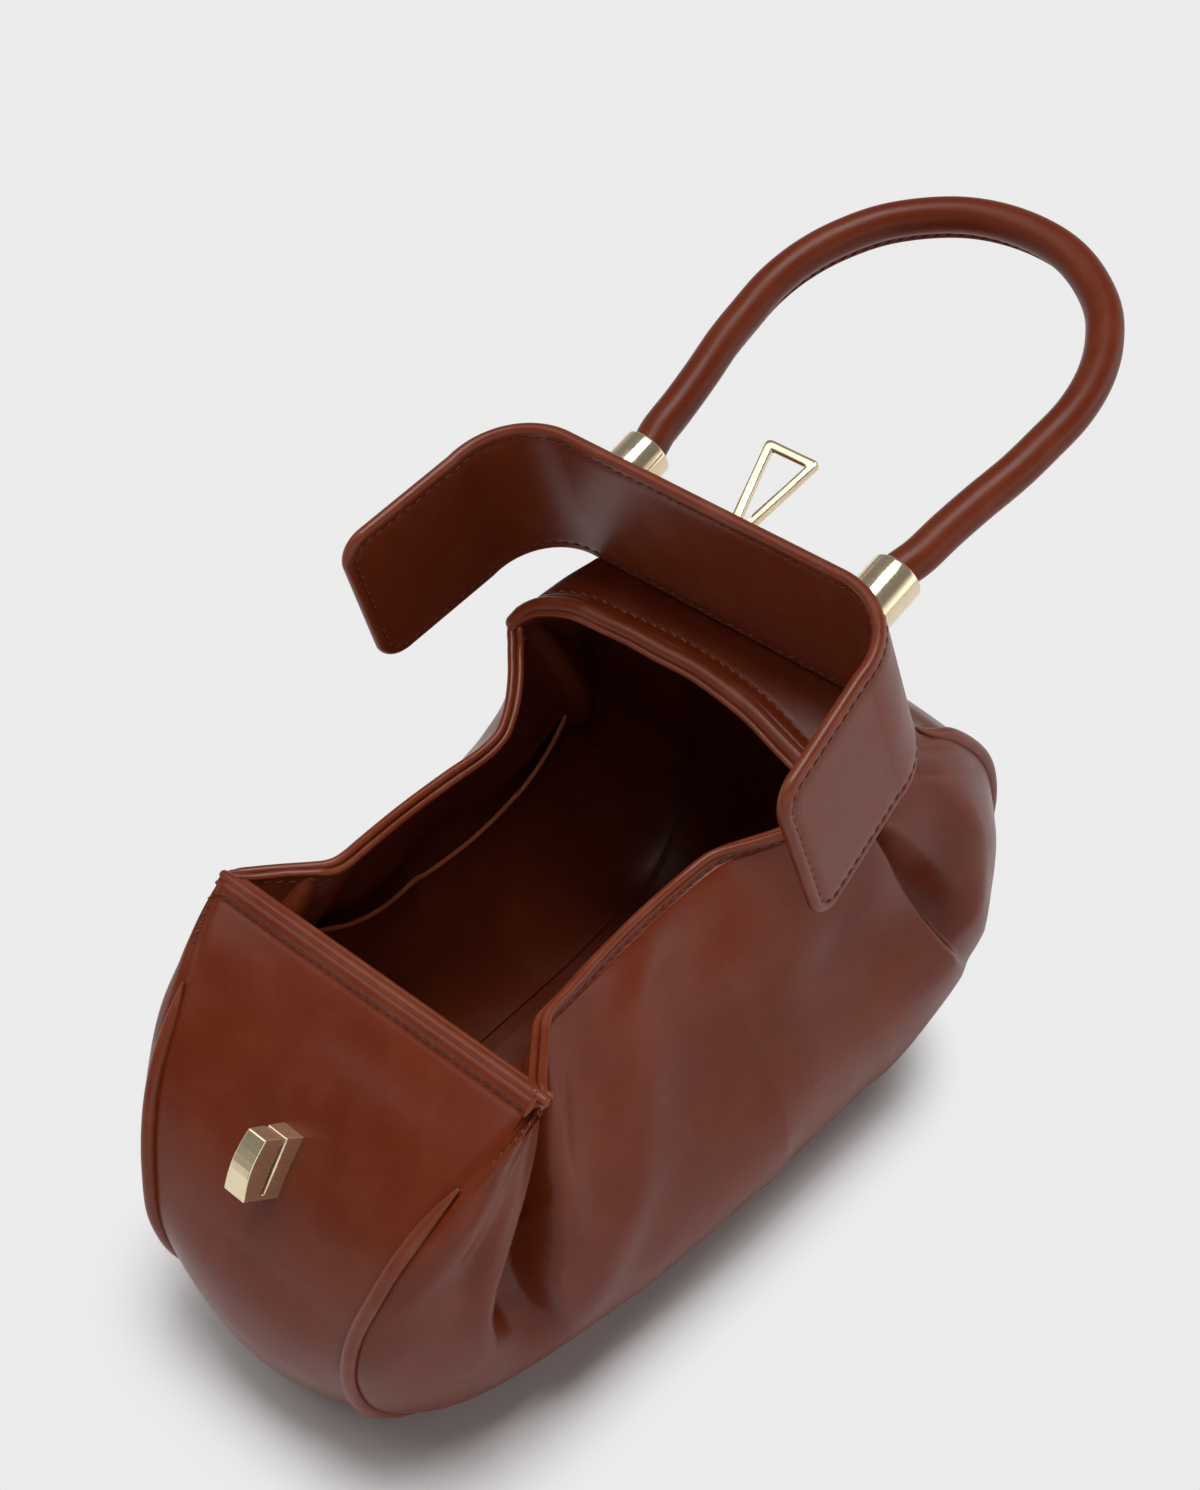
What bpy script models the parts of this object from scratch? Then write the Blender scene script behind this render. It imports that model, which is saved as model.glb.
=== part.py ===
"""Top handle bag: a soft leather body, a stiff banded lid with a rolled handle, and a ring clasp.

Frame: metres, +Z up, X across the bag, the front panel with the catch post faces -Y.
The origin is the middle of the flat base. The lid stands open, as it does when the bag is filled.
"""

import math

import bmesh
import bpy
import numpy as np
from mathutils import Vector

MM = 0.001

# General clearances and counts
GAP = 0.3 * MM
OVERRUN = 2.0 * MM
HAIR = 0.001 * MM
WALL_ROWS = 29
WALL_COLUMNS = 7
STRIP_CELLS = 6
FINE_STEPS = 24
TRIM_LIMIT_SHARE = 0.9

# Body: outline sizes
RIM_HALF_WIDTH = 60.0 * MM
BODY_REACH = 250.0 * MM
BODY_HEIGHT = 129.0 * MM
BASE_CENTRE_SHARE = 0.27
SIDE_BULGE = 39.0 * MM
SIDE_BULGE_LOW_POWER = 0.75
SIDE_BULGE_FLAT_POWER = 0.8
SIDE_START_ROOM = 1.6 * MM
ARM_ROOM_HALF_WIDTH = 65.5 * MM
ARM_ROOM_DEPTH = 33.0 * MM
ARM_ROOM_SLOPE_SHARE = 1.1
ARM_ROOM_EASE_SHARE = 0.1

# Body: material thicknesses
LEATHER = 1.6 * MM
LINING = 0.8 * MM
PIPING_RADIUS = 2.2 * MM
RIM_ROLL_RADIUS = 1.9 * MM
BACK_ROLL_RADIUS = 2.3 * MM
BACK_ROLL_BOW = 8.4 * MM
BACK_ROLL_RISE = 10.0 * MM
BACK_ROLL_POWER = 2.5
FRONT_PACKING = 5.2 * MM
PACKING_FULL_SHARE = 0.08
LINING_CORNER_ROOM = 6.0 * MM
LINING_CORNER_SHARE = 0.14
LINING_LEAVES_SHARE = 0.80
LINING_LEAVES_POWER = 1.5
LINING_TOP_HALF_WIDTH = 50.0 * MM
LINING_BACK_ROWS = 7
BOARD_THICKNESS = 2.0 * MM

# Seam between the centre strip and a side panel, from the front rim corner, under the bag, to the
# hinge. Shares of the rim half width, the body's reach behind the front rim, and the body's height.
SEAM_SHARES = (
    (1.000, 0.000, 1.000),
    (0.930, -0.052, 0.925),
    (0.849, -0.100, 0.845),
    (0.773, -0.157, 0.727),
    (0.724, -0.185, 0.632),
    (0.667, -0.206, 0.519),
    (0.635, -0.213, 0.384),
    (0.618, -0.186, 0.215),
    (0.615, -0.104, 0.062),
    (0.620, 0.048, 0.020),
    (0.640, 0.264, 0.020),
    (0.680, 0.480, 0.020),
    (0.740, 0.655, 0.079),
    (0.805, 0.749, 0.250),
    (0.900, 0.783, 0.470),
    (0.982, 0.788, 0.690),
    (1.000, 0.757, 0.895),
    (0.960, 0.682, 1.057),
    (0.830, 0.575, 1.258),
)

# Upper edge of a side panel, from the front rim corner, round the pinched mouth, to the hinge.
MOUTH_SHARES = (
    (1.000, 0.000, 1.000),
    (0.860, 0.031, 0.995),
    (0.671, 0.096, 0.994),
    (0.645, 0.216, 1.009),
    (0.642, 0.355, 1.042),
    (0.800, 0.427, 1.102),
    (0.990, 0.461, 1.149),
    (0.920, 0.516, 1.205),
    (0.830, 0.559, 1.253),
)
MOUTH_CORNER_COUNT = 6
MOUTH_CORNER_ROWS = 23
MOUTH_BACK_ROOM = 3.4 * MM

# How far the side panel stands out, by place along the seam: (place, share of SIDE_BULGE).
BULGE_SHARES = (
    (0.0, 0.0), (0.06, 0.18), (0.12, 0.30), (0.25, 0.62), (0.50, 1.0), (0.62, 0.92), (0.74, 0.72), (0.81, 0.45),
    (0.88, 0.17), (1.0, 0.0),
)

# How far the strip's middle stands out from its two seams, as shares of STRIP_BOW.
STRIP_BOW = 6.0 * MM
BOW_SHARES = (
    (0.0, 0.0), (0.10, -0.5), (0.16, 0.0), (0.21, 1.1), (0.26, 1.9), (0.30, 1.8), (0.40, 1.0), (0.65, 1.0),
    (0.80, 0.8), (0.93, 0.8), (1.0, 0.0),
)

# Where the piping lies along the seam, and how long its tapered tips are.
PIPING_START_SHARE = 0.063
PIPING_END_SHARE = 0.930
PIPING_TIP_SHARE = 0.035
PIPING_TIP_THIN_SHARE = 0.25

# Top panel, between the back roll and the lid
TOP_ROWS = 5
TOP_COLUMNS = 11
TOP_PANEL_MEETS_DEG = 75.0

# Lid band, in the lid's own frame: x across, y out of the outer face, z up the band.
LID_TILT_DEG = 18.3
LID_HEIGHT = 54.6 * MM
LID_DEPTH = 66.3 * MM
LID_BEND_RADIUS = 24.8 * MM
HANDLE_FOOT_HALF = 44.0 * MM
LID_FLAT_ROOM = 3.0 * MM
LID_SPREAD = 5.5 * MM
LID_FLARE = 3.6 * MM
LID_CORNER_RADIUS = 9.0 * MM
LID_BINDING_RADIUS = 1.85 * MM
LID_COVER = 1.2 * MM
LID_CORE = 1.0 * MM
LID_LINING = 0.9 * MM
LID_ROWS = 4

# Handle
HANDLE_RADIUS = 5.4 * MM
HANDLE_COVER = 1.2 * MM
HANDLE_SEAM_PROUD = 3.2 * MM
HANDLE_SEAM_TUCKED = 1.5 * MM
HANDLE_SEAM_RISE = 10.0 * MM
HANDLE_SEAM_HALF = 1.1 * MM
HANDLE_HALF_WIDTH = 52.8 * MM
HANDLE_HEIGHT = 123.0 * MM
HANDLE_LEVEL = 24.7 * MM
HANDLE_STEPS = 31
# (share of the widening from the foot to the widest place, share of the height above the ferrules)
HANDLE_SHARES = (
    (0.00, 0.00), (0.20, 0.06), (0.33, 0.15), (0.53, 0.25), (0.80, 0.36), (0.93, 0.46), (1.00, 0.565),
)
HANDLE_CROWN_SHARES = ((0.965, 0.67), (0.875, 0.77), (0.70, 0.875), (0.36, 0.972), (0.0, 1.0))

# Ferrules and their screws
FERRULE_RADIUS = 7.8 * MM
FERRULE_WALL = 0.8 * MM
FERRULE_LENGTH = 21.5 * MM
FERRULE_FLOOR = 4.5 * MM
FERRULE_OFFSET = 0.8 * MM
FERRULE_BEVEL = 0.6 * MM
SCREW_RADIUS = 1.3 * MM
SCREW_HEAD_RADIUS = 3.2 * MM
SCREW_REACH = 3.6 * MM

# Clasp ring and its bracket, on the lid's outer face
RING_LEVEL = 27.9 * MM
RING_STANDOFF = 3.0 * MM
RING_LENGTH = 33.5 * MM
RING_HALF_OUTER = 9.4 * MM
RING_HALF_TIP = 2.0 * MM
RING_BAR = 2.7 * MM
RING_THICKNESS = 2.4 * MM
RING_CORNER = 2.2 * MM
RING_CORNER_LIMIT_SHARE = 0.45
RING_INNER_TIP_SHARE = 0.35
RING_NECK_SHARE = 0.9
RING_TILT_DEG = 10.7
RING_EYE_RADIUS = 1.9 * MM
PIN_RADIUS = 0.8 * MM
EAR_THICKNESS = 1.3 * MM
EAR_HALF_LENGTH = 2.1 * MM
BRACKET_HALF_LENGTH = 7.5 * MM
BRACKET_PLATE = 0.9 * MM
BRACKET_CORNER_SHARE = 0.8
RIVET_RADIUS = 0.8 * MM
RIVET_HEAD_RADIUS = 1.9 * MM
RIVET_PLACE = 5.2 * MM

# Catch post, on the front panel
CATCH_SHARE = 0.103
CATCH_HEIGHT = 18.2 * MM
CATCH_HALF_WIDTH = 4.0 * MM
CATCH_HALF_TOP = 3.2 * MM
CATCH_STANDOFF = 14.3 * MM
CATCH_CROWN = 1.6 * MM
CATCH_CROWN_LEAN_SHARE = 0.6
CATCH_TAPER_LOW_SHARE = 0.65
CATCH_SLOT_PLACE = 6.4 * MM
CATCH_SLOT_WIDTH = 1.4 * MM
CATCH_SLOT_FLOOR = 1.4 * MM
CATCH_BEVEL = 0.35 * MM
CATCH_SCREW_RADIUS = 1.0 * MM
CATCH_SCREW_HEAD = 1.8 * MM
CATCH_SCREW_HEAD_HEIGHT = 0.8 * MM
CATCH_SCREW_REACH = 4.5 * MM
CATCH_SCREW_PITCH = 9.0 * MM
CATCH_PLATE = 0.9 * MM
CATCH_PLATE_SETBACK = 0.5 * MM
CATCH_PLATE_HALF_WIDTH = 7.0 * MM
CATCH_PLATE_HALF_HEIGHT = 8.0 * MM
CATCH_PLATE_CORNER = 2.0 * MM

# Slip pocket, on the left lining: shares along the seam and up the wall
POCKET_ALONG_SHARES = (0.23, 0.69)
POCKET_RISE_SHARES = (0.14, 0.86)
POCKET_SLACK = 3.0 * MM
POCKET_LEATHER = 0.8 * MM

# Base board, between the strip and its lining
BOARD_HALF_WIDTH = 21.0 * MM
BOARD_HALF_LENGTH = 46.0 * MM
BOARD_CORNER = 6.0 * MM


def clear_scene():
    for item in list(bpy.data.objects):
        bpy.data.objects.remove(item, do_unlink=True)


def material(name, colour, roughness, metallic=0.0):
    made = bpy.data.materials.get(name)
    if made:
        return made
    made = bpy.data.materials.new(name)
    made.use_nodes = True
    shader = made.node_tree.nodes["Principled BSDF"]
    shader.inputs["Base Color"].default_value = (*colour, 1.0)
    shader.inputs["Roughness"].default_value = roughness
    shader.inputs["Metallic"].default_value = metallic
    return made


def leather():
    return material("cognac_leather", (0.17, 0.045, 0.024), 0.42)


def dark_leather():
    return material("lining_leather", (0.10, 0.026, 0.014), 0.5)


def board():
    return material("fibre_board", (0.35, 0.27, 0.19), 0.85)


def cotton():
    return material("cotton_cord", (0.62, 0.56, 0.46), 0.9)


def gold():
    return material("pale_gold", (0.83, 0.72, 0.52), 0.18, 1.0)


def steel():
    return material("plain_steel", (0.55, 0.55, 0.56), 0.35, 1.0)


def place(name, data, finish, parent=None, smooth=True):
    """Link an object for a mesh or curve, in its parent's own frame."""
    item = bpy.data.objects.new(name, data)
    bpy.context.scene.collection.objects.link(item)
    data.materials.append(finish)
    if parent:
        item.parent = parent
    if smooth and isinstance(data, bpy.types.Mesh):
        data.shade_smooth()
        data.set_sharp_from_angle(angle=math.radians(40))
    return item


def mesh_from(build, name):
    """Run a bmesh recipe and return the closed mesh with its faces pointing out."""
    bm = bmesh.new()
    build(bm)
    bmesh.ops.recalc_face_normals(bm, faces=bm.faces)
    data = bpy.data.meshes.new(name)
    bm.to_mesh(data)
    bm.free()
    return data


def empty(name, location, turn_x=0.0, parent=None):
    item = bpy.data.objects.new(name, None)
    bpy.context.scene.collection.objects.link(item)
    item.location = location
    item.rotation_euler = (turn_x, 0.0, 0.0)
    if parent:
        item.parent = parent
    return item


def cutter(name, data, parent=None):
    """A hidden shape that only cuts others."""
    item = place(name, data, steel(), parent, smooth=False)
    item.hide_render = True
    item.display_type = "WIRE"
    return item


def cut(target, tool):
    modifier = target.modifiers.new("cut_" + tool.name, "BOOLEAN")
    modifier.operation = "DIFFERENCE"
    modifier.solver = "EXACT"
    modifier.object = tool


def bevel(item, width, segments=2, angle=35.0):
    modifier = item.modifiers.new("edge_bevel", "BEVEL")
    modifier.width = width
    modifier.segments = segments
    modifier.limit_method = "ANGLE"
    modifier.angle_limit = math.radians(angle)


def shares_at(table, where):
    """Read a (place, share) table at one place."""
    places, values = zip(*table)
    return float(np.interp(where, places, values))


def knot_mix(low, high, t, before, after):
    """The point at t on the line that has the point before at low and the point after at high."""
    return ((high - t) * before + (t - low) * after) / (high - low)


def smooth_path(points, count):
    """A centripetal Catmull-Rom curve through the points, cut into even steps."""
    points = np.array(points, float)
    ends = 2 * points[0] - points[1], 2 * points[-1] - points[-2]
    points = np.vstack([ends[0], points, ends[1]])
    fine = []
    for k in range(len(points) - 3):
        p0, p1, p2, p3 = points[k : k + 4]
        t1 = math.sqrt(np.linalg.norm(p1 - p0))
        t2 = t1 + math.sqrt(np.linalg.norm(p2 - p1))
        t3 = t2 + math.sqrt(np.linalg.norm(p3 - p2))
        for t in np.linspace(t1, t2, FINE_STEPS, endpoint=False):
            a1 = knot_mix(0.0, t1, t, p0, p1)
            a2 = knot_mix(t1, t2, t, p1, p2)
            a3 = knot_mix(t2, t3, t, p2, p3)
            b1 = knot_mix(0.0, t2, t, a1, a2)
            b2 = knot_mix(t1, t3, t, a2, a3)
            fine.append(knot_mix(t1, t2, t, b1, b2))
    fine.append(points[-2])
    return even_steps(np.array(fine), count)


def lengths_along(points):
    steps = np.linalg.norm(np.diff(points, axis=0), axis=1)
    return np.concatenate([[0.0], np.cumsum(steps)])


def even_steps(points, count, start=0.0, stop=0.0):
    """Resample a polyline evenly, leaving out a length at its start and its end."""
    along = lengths_along(points)
    where = np.linspace(start, along[-1] - stop, count)
    return np.stack([np.interp(where, along, points[:, k]) for k in range(points.shape[1])], -1)


def grid_normals(grid):
    """Unit normals of a grid of points, from its differences both ways."""
    down = np.gradient(grid, axis=0)
    across = np.gradient(grid, axis=1)
    normal = np.cross(down, across)
    return normal / np.linalg.norm(normal, axis=2, keepdims=True)


def skin(bm, outer, inner):
    """A closed sheet between two matching grids of points."""
    rows, columns = outer.shape[:2]
    sides = []
    for grid in (outer, inner):
        sides.append([[bm.verts.new(Vector(p)) for p in row] for row in grid])
    for verts in sides:
        for i in range(rows - 1):
            for j in range(columns - 1):
                bm.faces.new((verts[i][j], verts[i + 1][j], verts[i + 1][j + 1], verts[i][j + 1]))
    a, b = sides
    rim = [(i, 0) for i in range(rows)] + [(rows - 1, j) for j in range(1, columns)]
    rim += [(i, columns - 1) for i in range(rows - 2, -1, -1)] + [(0, j) for j in range(columns - 2, 0, -1)]
    for k, (i, j) in enumerate(rim):
        m, n = rim[(k + 1) % len(rim)]
        bm.faces.new((a[i][j], a[m][n], b[m][n], b[i][j]))


def sheet(name, surface, normals, depth, thickness, finish, parent=None):
    """A sheet that lies a given depth under a surface; depth may vary over the grid."""
    depth = np.asarray(depth, float)
    if depth.ndim:
        depth = depth[..., None]
    outer = surface - normals * depth
    inner = surface - normals * (depth + thickness)
    return place(name, mesh_from(lambda bm: skin(bm, outer, inner), name), finish, parent)


def tube(name, points, radius, finish, parent=None, radii=None, cyclic=False, resolution=2):
    """A round cord along the points: a poly curve with a bevel and filled caps."""
    data = bpy.data.curves.new(name, "CURVE")
    data.dimensions = "3D"
    data.bevel_depth = radius
    data.bevel_resolution = resolution
    data.use_fill_caps = not cyclic
    spline = data.splines.new("POLY")
    spline.points.add(len(points) - 1)
    for k, p in enumerate(points):
        spline.points[k].co = (*p, 1.0)
        spline.points[k].radius = 1.0 if radii is None else radii[k]
    spline.use_cyclic_u = cyclic
    return place(name, data, finish, parent)


def cylinder(bm, centre, axis, radius, length, segments=20):
    """A round bar that starts at centre and runs along axis."""
    turn = Vector((0, 0, 1)).rotation_difference(Vector(axis))
    made = bmesh.ops.create_cone(
        bm, cap_ends=True, segments=segments, radius1=radius, radius2=radius, depth=length
    )
    matrix = turn.to_matrix()
    middle = Vector(centre) + Vector(axis).normalized() * (length / 2)
    for vert in made["verts"]:
        vert.co = matrix @ vert.co + middle


# Body surface


def body_point(shares):
    across, along, up = shares
    return np.array([
        across * RIM_HALF_WIDTH,
        (along - BASE_CENTRE_SHARE) * BODY_REACH,
        up * BODY_HEIGHT,
    ])


def seam_and_mouth():
    seam = smooth_path([body_point(s) for s in SEAM_SHARES], WALL_ROWS)
    mouth = smooth_path([body_point(s) for s in MOUTH_SHARES], FINE_STEPS * WALL_ROWS)
    corner = body_point(MOUTH_SHARES[MOUTH_CORNER_COUNT])
    split = int(np.argmin(np.linalg.norm(mouth - corner, axis=1)))
    front = even_steps(mouth[: split + 1], MOUTH_CORNER_ROWS + 1)
    behind = even_steps(mouth[split:], WALL_ROWS - MOUTH_CORNER_ROWS)
    mouth = np.vstack([front, behind[1:]])
    lowest = PIPING_RADIUS + GAP
    seam[:, 2] = np.maximum(seam[:, 2], lowest)
    return seam, mouth


def row_places():
    return np.linspace(0.0, 1.0, WALL_ROWS)


def arm_room(point):
    """Draw the wall in where the closed lid's arms hang beside it."""
    x, y, z = point
    top = BODY_HEIGHT - ARM_ROOM_DEPTH
    limit = ARM_ROOM_HALF_WIDTH + max(0.0, top - z) * ARM_ROOM_SLOPE_SHARE
    behind = max(0.0, y - (MOUTH_SHARES[-1][1] - BASE_CENTRE_SHARE) * BODY_REACH - ARM_ROOM_DEPTH / 3)
    limit += behind * ARM_ROOM_SLOPE_SHARE
    ease = ARM_ROOM_HALF_WIDTH * ARM_ROOM_EASE_SHARE
    over = x - limit
    if over < -ease:
        return point
    if over > ease:
        return np.array([limit, y, z])
    return np.array([x - (over + ease) ** 2 / (4 * ease), y, z])


def side_row(seam_point, mouth_point, where):
    """One section of the right side wall, from the seam up to the mouth."""
    bulge = SIDE_BULGE * shares_at(BULGE_SHARES, where)
    row = []
    for q in np.linspace(0.0, 1.0, FINE_STEPS * 4) ** 2:
        point = seam_point + (mouth_point - seam_point) * q
        swell = math.sin(math.pi * q**SIDE_BULGE_LOW_POWER) ** SIDE_BULGE_FLAT_POWER if 0 < q < 1 else 0.0
        point = point + np.array([bulge * swell, 0.0, 0.0])
        point[2] = max(point[2], 0.0)
        row.append(arm_room(point))
    return np.array(row)


def piping_share(where, early=0.0):
    """1 where the piping is whole, falling to 0 past its tapered tips; early widens the range."""
    rise = (where - PIPING_START_SHARE + early) / PIPING_TIP_SHARE
    fall = (PIPING_END_SHARE - where + early) / PIPING_TIP_SHARE
    return float(np.clip(min(rise, fall), 0.0, 1.0))


def seam_room(where):
    """How far the side panel stays from the seam line: clear of the strip's edge and the piping."""
    plain = LEATHER + 2 * GAP
    return plain + piping_share(where) * (PIPING_RADIUS + SIDE_START_ROOM - plain)


def strip_out(seam):
    """The strip's outward direction at each row of the seam."""
    tangents = np.gradient(seam, axis=0)
    out = np.stack([np.zeros(len(seam)), -tangents[:, 2], tangents[:, 1]], -1)
    return -out / np.linalg.norm(out, axis=1, keepdims=True)


def wall_depth():
    return LEATHER + GAP + LINING


def side_low(row, seam, outward, tangent, where):
    """How far up a row the side panel starts, so that its thickness clears the strip's."""
    low = clear_length(row, seam, seam_room(where))
    first = row[clear_index(row, seam, LEATHER)] - row[0]
    normal = np.cross(first, tangent)
    normal = normal / np.linalg.norm(normal)
    if normal[0] < 0:
        normal = -normal
    inner_shift = max(0.0, -float(np.dot(normal, outward))) * wall_depth()
    depth = -np.sum((row - row[0]) * outward, axis=1)
    if float(np.dot(first, outward)) < 0:
        deep = np.nonzero(depth >= (LEATHER + 2 * GAP + inner_shift) * (1 - piping_share(where)))[0]
        if len(deep):
            low = max(low, lengths_along(row)[deep[0]])
    return low


def side_surface(seam, mouth):
    """The right wall's outer surface, stopped short of the piping below and of the rim above."""
    rows = []
    outward = strip_out(seam)
    tangents = np.gradient(seam, axis=0)
    front = np.array([mirrored(mouth[0]), mouth[0]]) + np.array([0.0, LEATHER / 2, 0.0])
    for k, where in enumerate(row_places()):
        row = side_row(seam[k], mouth[k], where)
        whole = lengths_along(row)[-1]
        if whole < 2 * RIM_ROLL_RADIUS:
            continue
        low = side_low(row, seam, outward[k], tangents[k], where)
        high = clear_length(row[::-1], mouth, RIM_ROLL_RADIUS + 2 * GAP)
        high = max(high, clear_length(row[::-1], front, RIM_ROLL_RADIUS + 2 * GAP + wall_depth() * 2 / 3))
        if k >= MOUTH_CORNER_ROWS - 1:
            high = max(high, MOUTH_BACK_ROOM)
        if whole < low + high + OVERRUN:
            continue
        rows.append(even_steps(row, WALL_COLUMNS, low, high))
    surface = np.array(rows)
    normals = grid_normals(surface)
    if normals[len(rows) // 2, WALL_COLUMNS // 2, 0] < 0:
        normals = -normals
    return surface, normals


def strip_surface(seam, edge_room):
    """The centre strip's outer surface; edge_room gives how far each row stops from the seam."""
    outward = strip_out(seam)
    rows = []
    for k, where in enumerate(row_places()):
        out = outward[k]
        half = seam[k][0] - edge_room(where)
        bow = STRIP_BOW * shares_at(BOW_SHARES, where)
        row = []
        for q in np.linspace(-1.0, 1.0, STRIP_CELLS + 1):
            point = np.array([q * half, seam[k][1], seam[k][2]]) + out * bow * (1 - q * q)
            point[2] = max(point[2], 0.0)
            row.append(point)
        rows.append(row)
    surface = np.array(rows)
    normals = grid_normals(surface)
    if normals[WALL_ROWS // 2, STRIP_CELLS // 2, 2] > 0:
        normals = -normals
    return surface, normals


def shorten(surface, start, stop):
    """Trim a grid's first and last rows by a length along each column."""
    columns = [trim_ends(surface[:, j], start, stop) for j in range(surface.shape[1])]
    return np.stack(columns, 1)


def trim_ends(points, start, stop):
    """Move only the end points of a polyline in by a length, and keep the others."""
    made = points.copy()
    first = points[1] - points[0]
    last = points[-2] - points[-1]
    made[0] = points[0] + first * min(TRIM_LIMIT_SHARE, start / np.linalg.norm(first))
    made[-1] = points[-1] + last * min(TRIM_LIMIT_SHARE, stop / np.linalg.norm(last))
    return made


def distance_to_line(point, line):
    """The least distance from a point to a polyline."""
    start = line[:-1]
    step = line[1:] - start
    share = np.sum((point - start) * step, axis=1) / np.sum(step * step, axis=1)
    foot = start + step * np.clip(share, 0.0, 1.0)[:, None]
    return float(np.min(np.linalg.norm(foot - point, axis=1)))


def clear_index(row, line, room):
    """The first point of a row that stands clear of a line by the room asked."""
    for k, point in enumerate(row):
        if distance_to_line(point, line) >= room:
            return k
    return len(row) - 1


def clear_length(row, line, room):
    """How far along a row of points it first stands clear of a line by the room asked."""
    along = lengths_along(row)
    k = clear_index(row, line, room)
    if k == 0:
        return along[0]
    before = distance_to_line(row[k - 1], line)
    after = distance_to_line(row[k], line)
    if after <= before:
        return along[k]
    share = min(1.0, (room - before) / (after - before))
    return along[k - 1] + (along[k] - along[k - 1]) * share


def mirrored(points):
    return np.asarray(points) * np.array([-1.0, 1.0, 1.0])


def hinge_point():
    """The lid's hinge axis, just above the end of the seam."""
    top = body_point(SEAM_SHARES[-1])
    front = body_point(MOUTH_SHARES[-1])
    return np.array([0.0, (top[1] + front[1]) / 2, top[2] + LID_BINDING_RADIUS + GAP])


# Body pieces


def make_centre_strip(seam):
    tangents = np.gradient(seam, axis=0)
    spread = np.linalg.norm(tangents, axis=1) / np.linalg.norm(tangents[:, 1:], axis=1)

    def room(where):
        slant = float(np.interp(where, row_places(), spread))
        return piping_share(where, 1 / (WALL_ROWS - 1)) * (PIPING_RADIUS + 2 * GAP) * slant

    surface, normals = strip_surface(seam, room)
    surface = shorten(surface, RIM_ROLL_RADIUS + GAP, GAP)
    return sheet("centre_strip", surface, normals, 0.0, LEATHER, leather()), surface, normals


def make_side_panels(seam, mouth):
    surface, normals = side_surface(seam, mouth)
    sheet("side_panel_right", surface, normals, 0.0, LEATHER, leather())
    sheet("side_panel_left", mirrored(surface), mirrored(normals), 0.0, LEATHER, leather())
    return surface, normals


def make_side_linings(surface, normals):
    depth = LEATHER + GAP
    sheet("side_lining_right", surface, normals, depth, LINING, dark_leather())
    sheet("side_lining_left", mirrored(surface), mirrored(normals), depth, LINING, dark_leather())


def lining_depth(where):
    """The strip lining lies close at the rim and deeper over the catch's screws and the board."""
    close = LEATHER + GAP
    return close + (FRONT_PACKING - close) * float(np.clip(where / PACKING_FULL_SHARE, 0.0, 1.0))


def make_strip_lining(seam, roll):
    """The strip's lining: down the front, over the board and up the back to the back roll."""
    def room(where):
        plain = LEATHER + GAP + LINING + 3 * GAP + PIPING_RADIUS / 2
        return plain + LINING_CORNER_ROOM * float(np.clip(1 - where / LINING_CORNER_SHARE, 0.0, 1.0))

    surface, normals = strip_surface(seam, room)
    surface = shorten(surface, RIM_ROLL_RADIUS + GAP, GAP)
    depth = np.array([[lining_depth(w)] * (STRIP_CELLS + 1) for w in row_places()])
    under = surface - normals * depth[..., None]
    leave = int(round(LINING_LEAVES_SHARE * (WALL_ROWS - 1)))
    start = under[leave]
    across = np.linspace(-1.0, 1.0, STRIP_CELLS + 1) * LINING_TOP_HALF_WIDTH
    end = np.stack([np.interp(across, roll[:, 0], roll[:, k]) for k in range(3)], -1)
    end[:, 2] -= BACK_ROLL_RADIUS + 2 * GAP
    rows = list(under[: leave + 1])
    for step in range(1, LINING_BACK_ROWS + 1):
        t = step / LINING_BACK_ROWS
        half = start[:, 0] * (1 - t) + end[:, 0] * t
        y = start[:, 1] + (end[:, 1] - start[:, 1]) * t**LINING_LEAVES_POWER
        z = start[:, 2] + (end[:, 2] - start[:, 2]) * math.sin(math.pi / 2 * t)
        rows.append(np.stack([half, y, z], -1))
    made = np.array(rows)
    made_normals = grid_normals(made)
    if made_normals[WALL_ROWS // 2, STRIP_CELLS // 2, 2] > 0:
        made_normals = -made_normals
    return sheet("strip_lining", made, made_normals, 0.0, LINING, dark_leather())


def make_piping(seam):
    """Two covered cords along the seams, with tapered tips."""
    places = row_places()
    fine_places = np.linspace(PIPING_START_SHARE, PIPING_END_SHARE, WALL_ROWS + 8)
    points = np.stack([np.interp(fine_places, places, seam[:, k]) for k in range(3)], -1)
    thin = PIPING_TIP_THIN_SHARE
    radii = [thin + (1 - thin) * piping_share(w) for w in fine_places]
    tube("piping_right", points, PIPING_RADIUS, leather(), radii=radii)
    tube("piping_left", mirrored(points), PIPING_RADIUS, leather(), radii=radii)


def rim_path(mouth):
    """The part of the mouth's edge, on the right, that the side binding covers."""
    return mouth[: MOUTH_CORNER_ROWS + 1]


def wall_inward(seam, mouth):
    """The inward direction of the wall at its upper edge, for each row of the right side."""
    along = np.gradient(mouth, axis=0)
    down = []
    for k, where in enumerate(row_places()):
        row = side_row(seam[k], mouth[k], where)
        down.append(row[-4] - row[-1] if lengths_along(row)[-1] > OVERRUN else np.array([0.0, 0.0, -1.0]))
    down = np.array(down)
    inward = np.cross(along, down)
    inward = inward / np.maximum(np.linalg.norm(inward, axis=1, keepdims=True), HAIR * HAIR)
    return np.where(inward[:, :1] > 0, -inward, inward)


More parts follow.
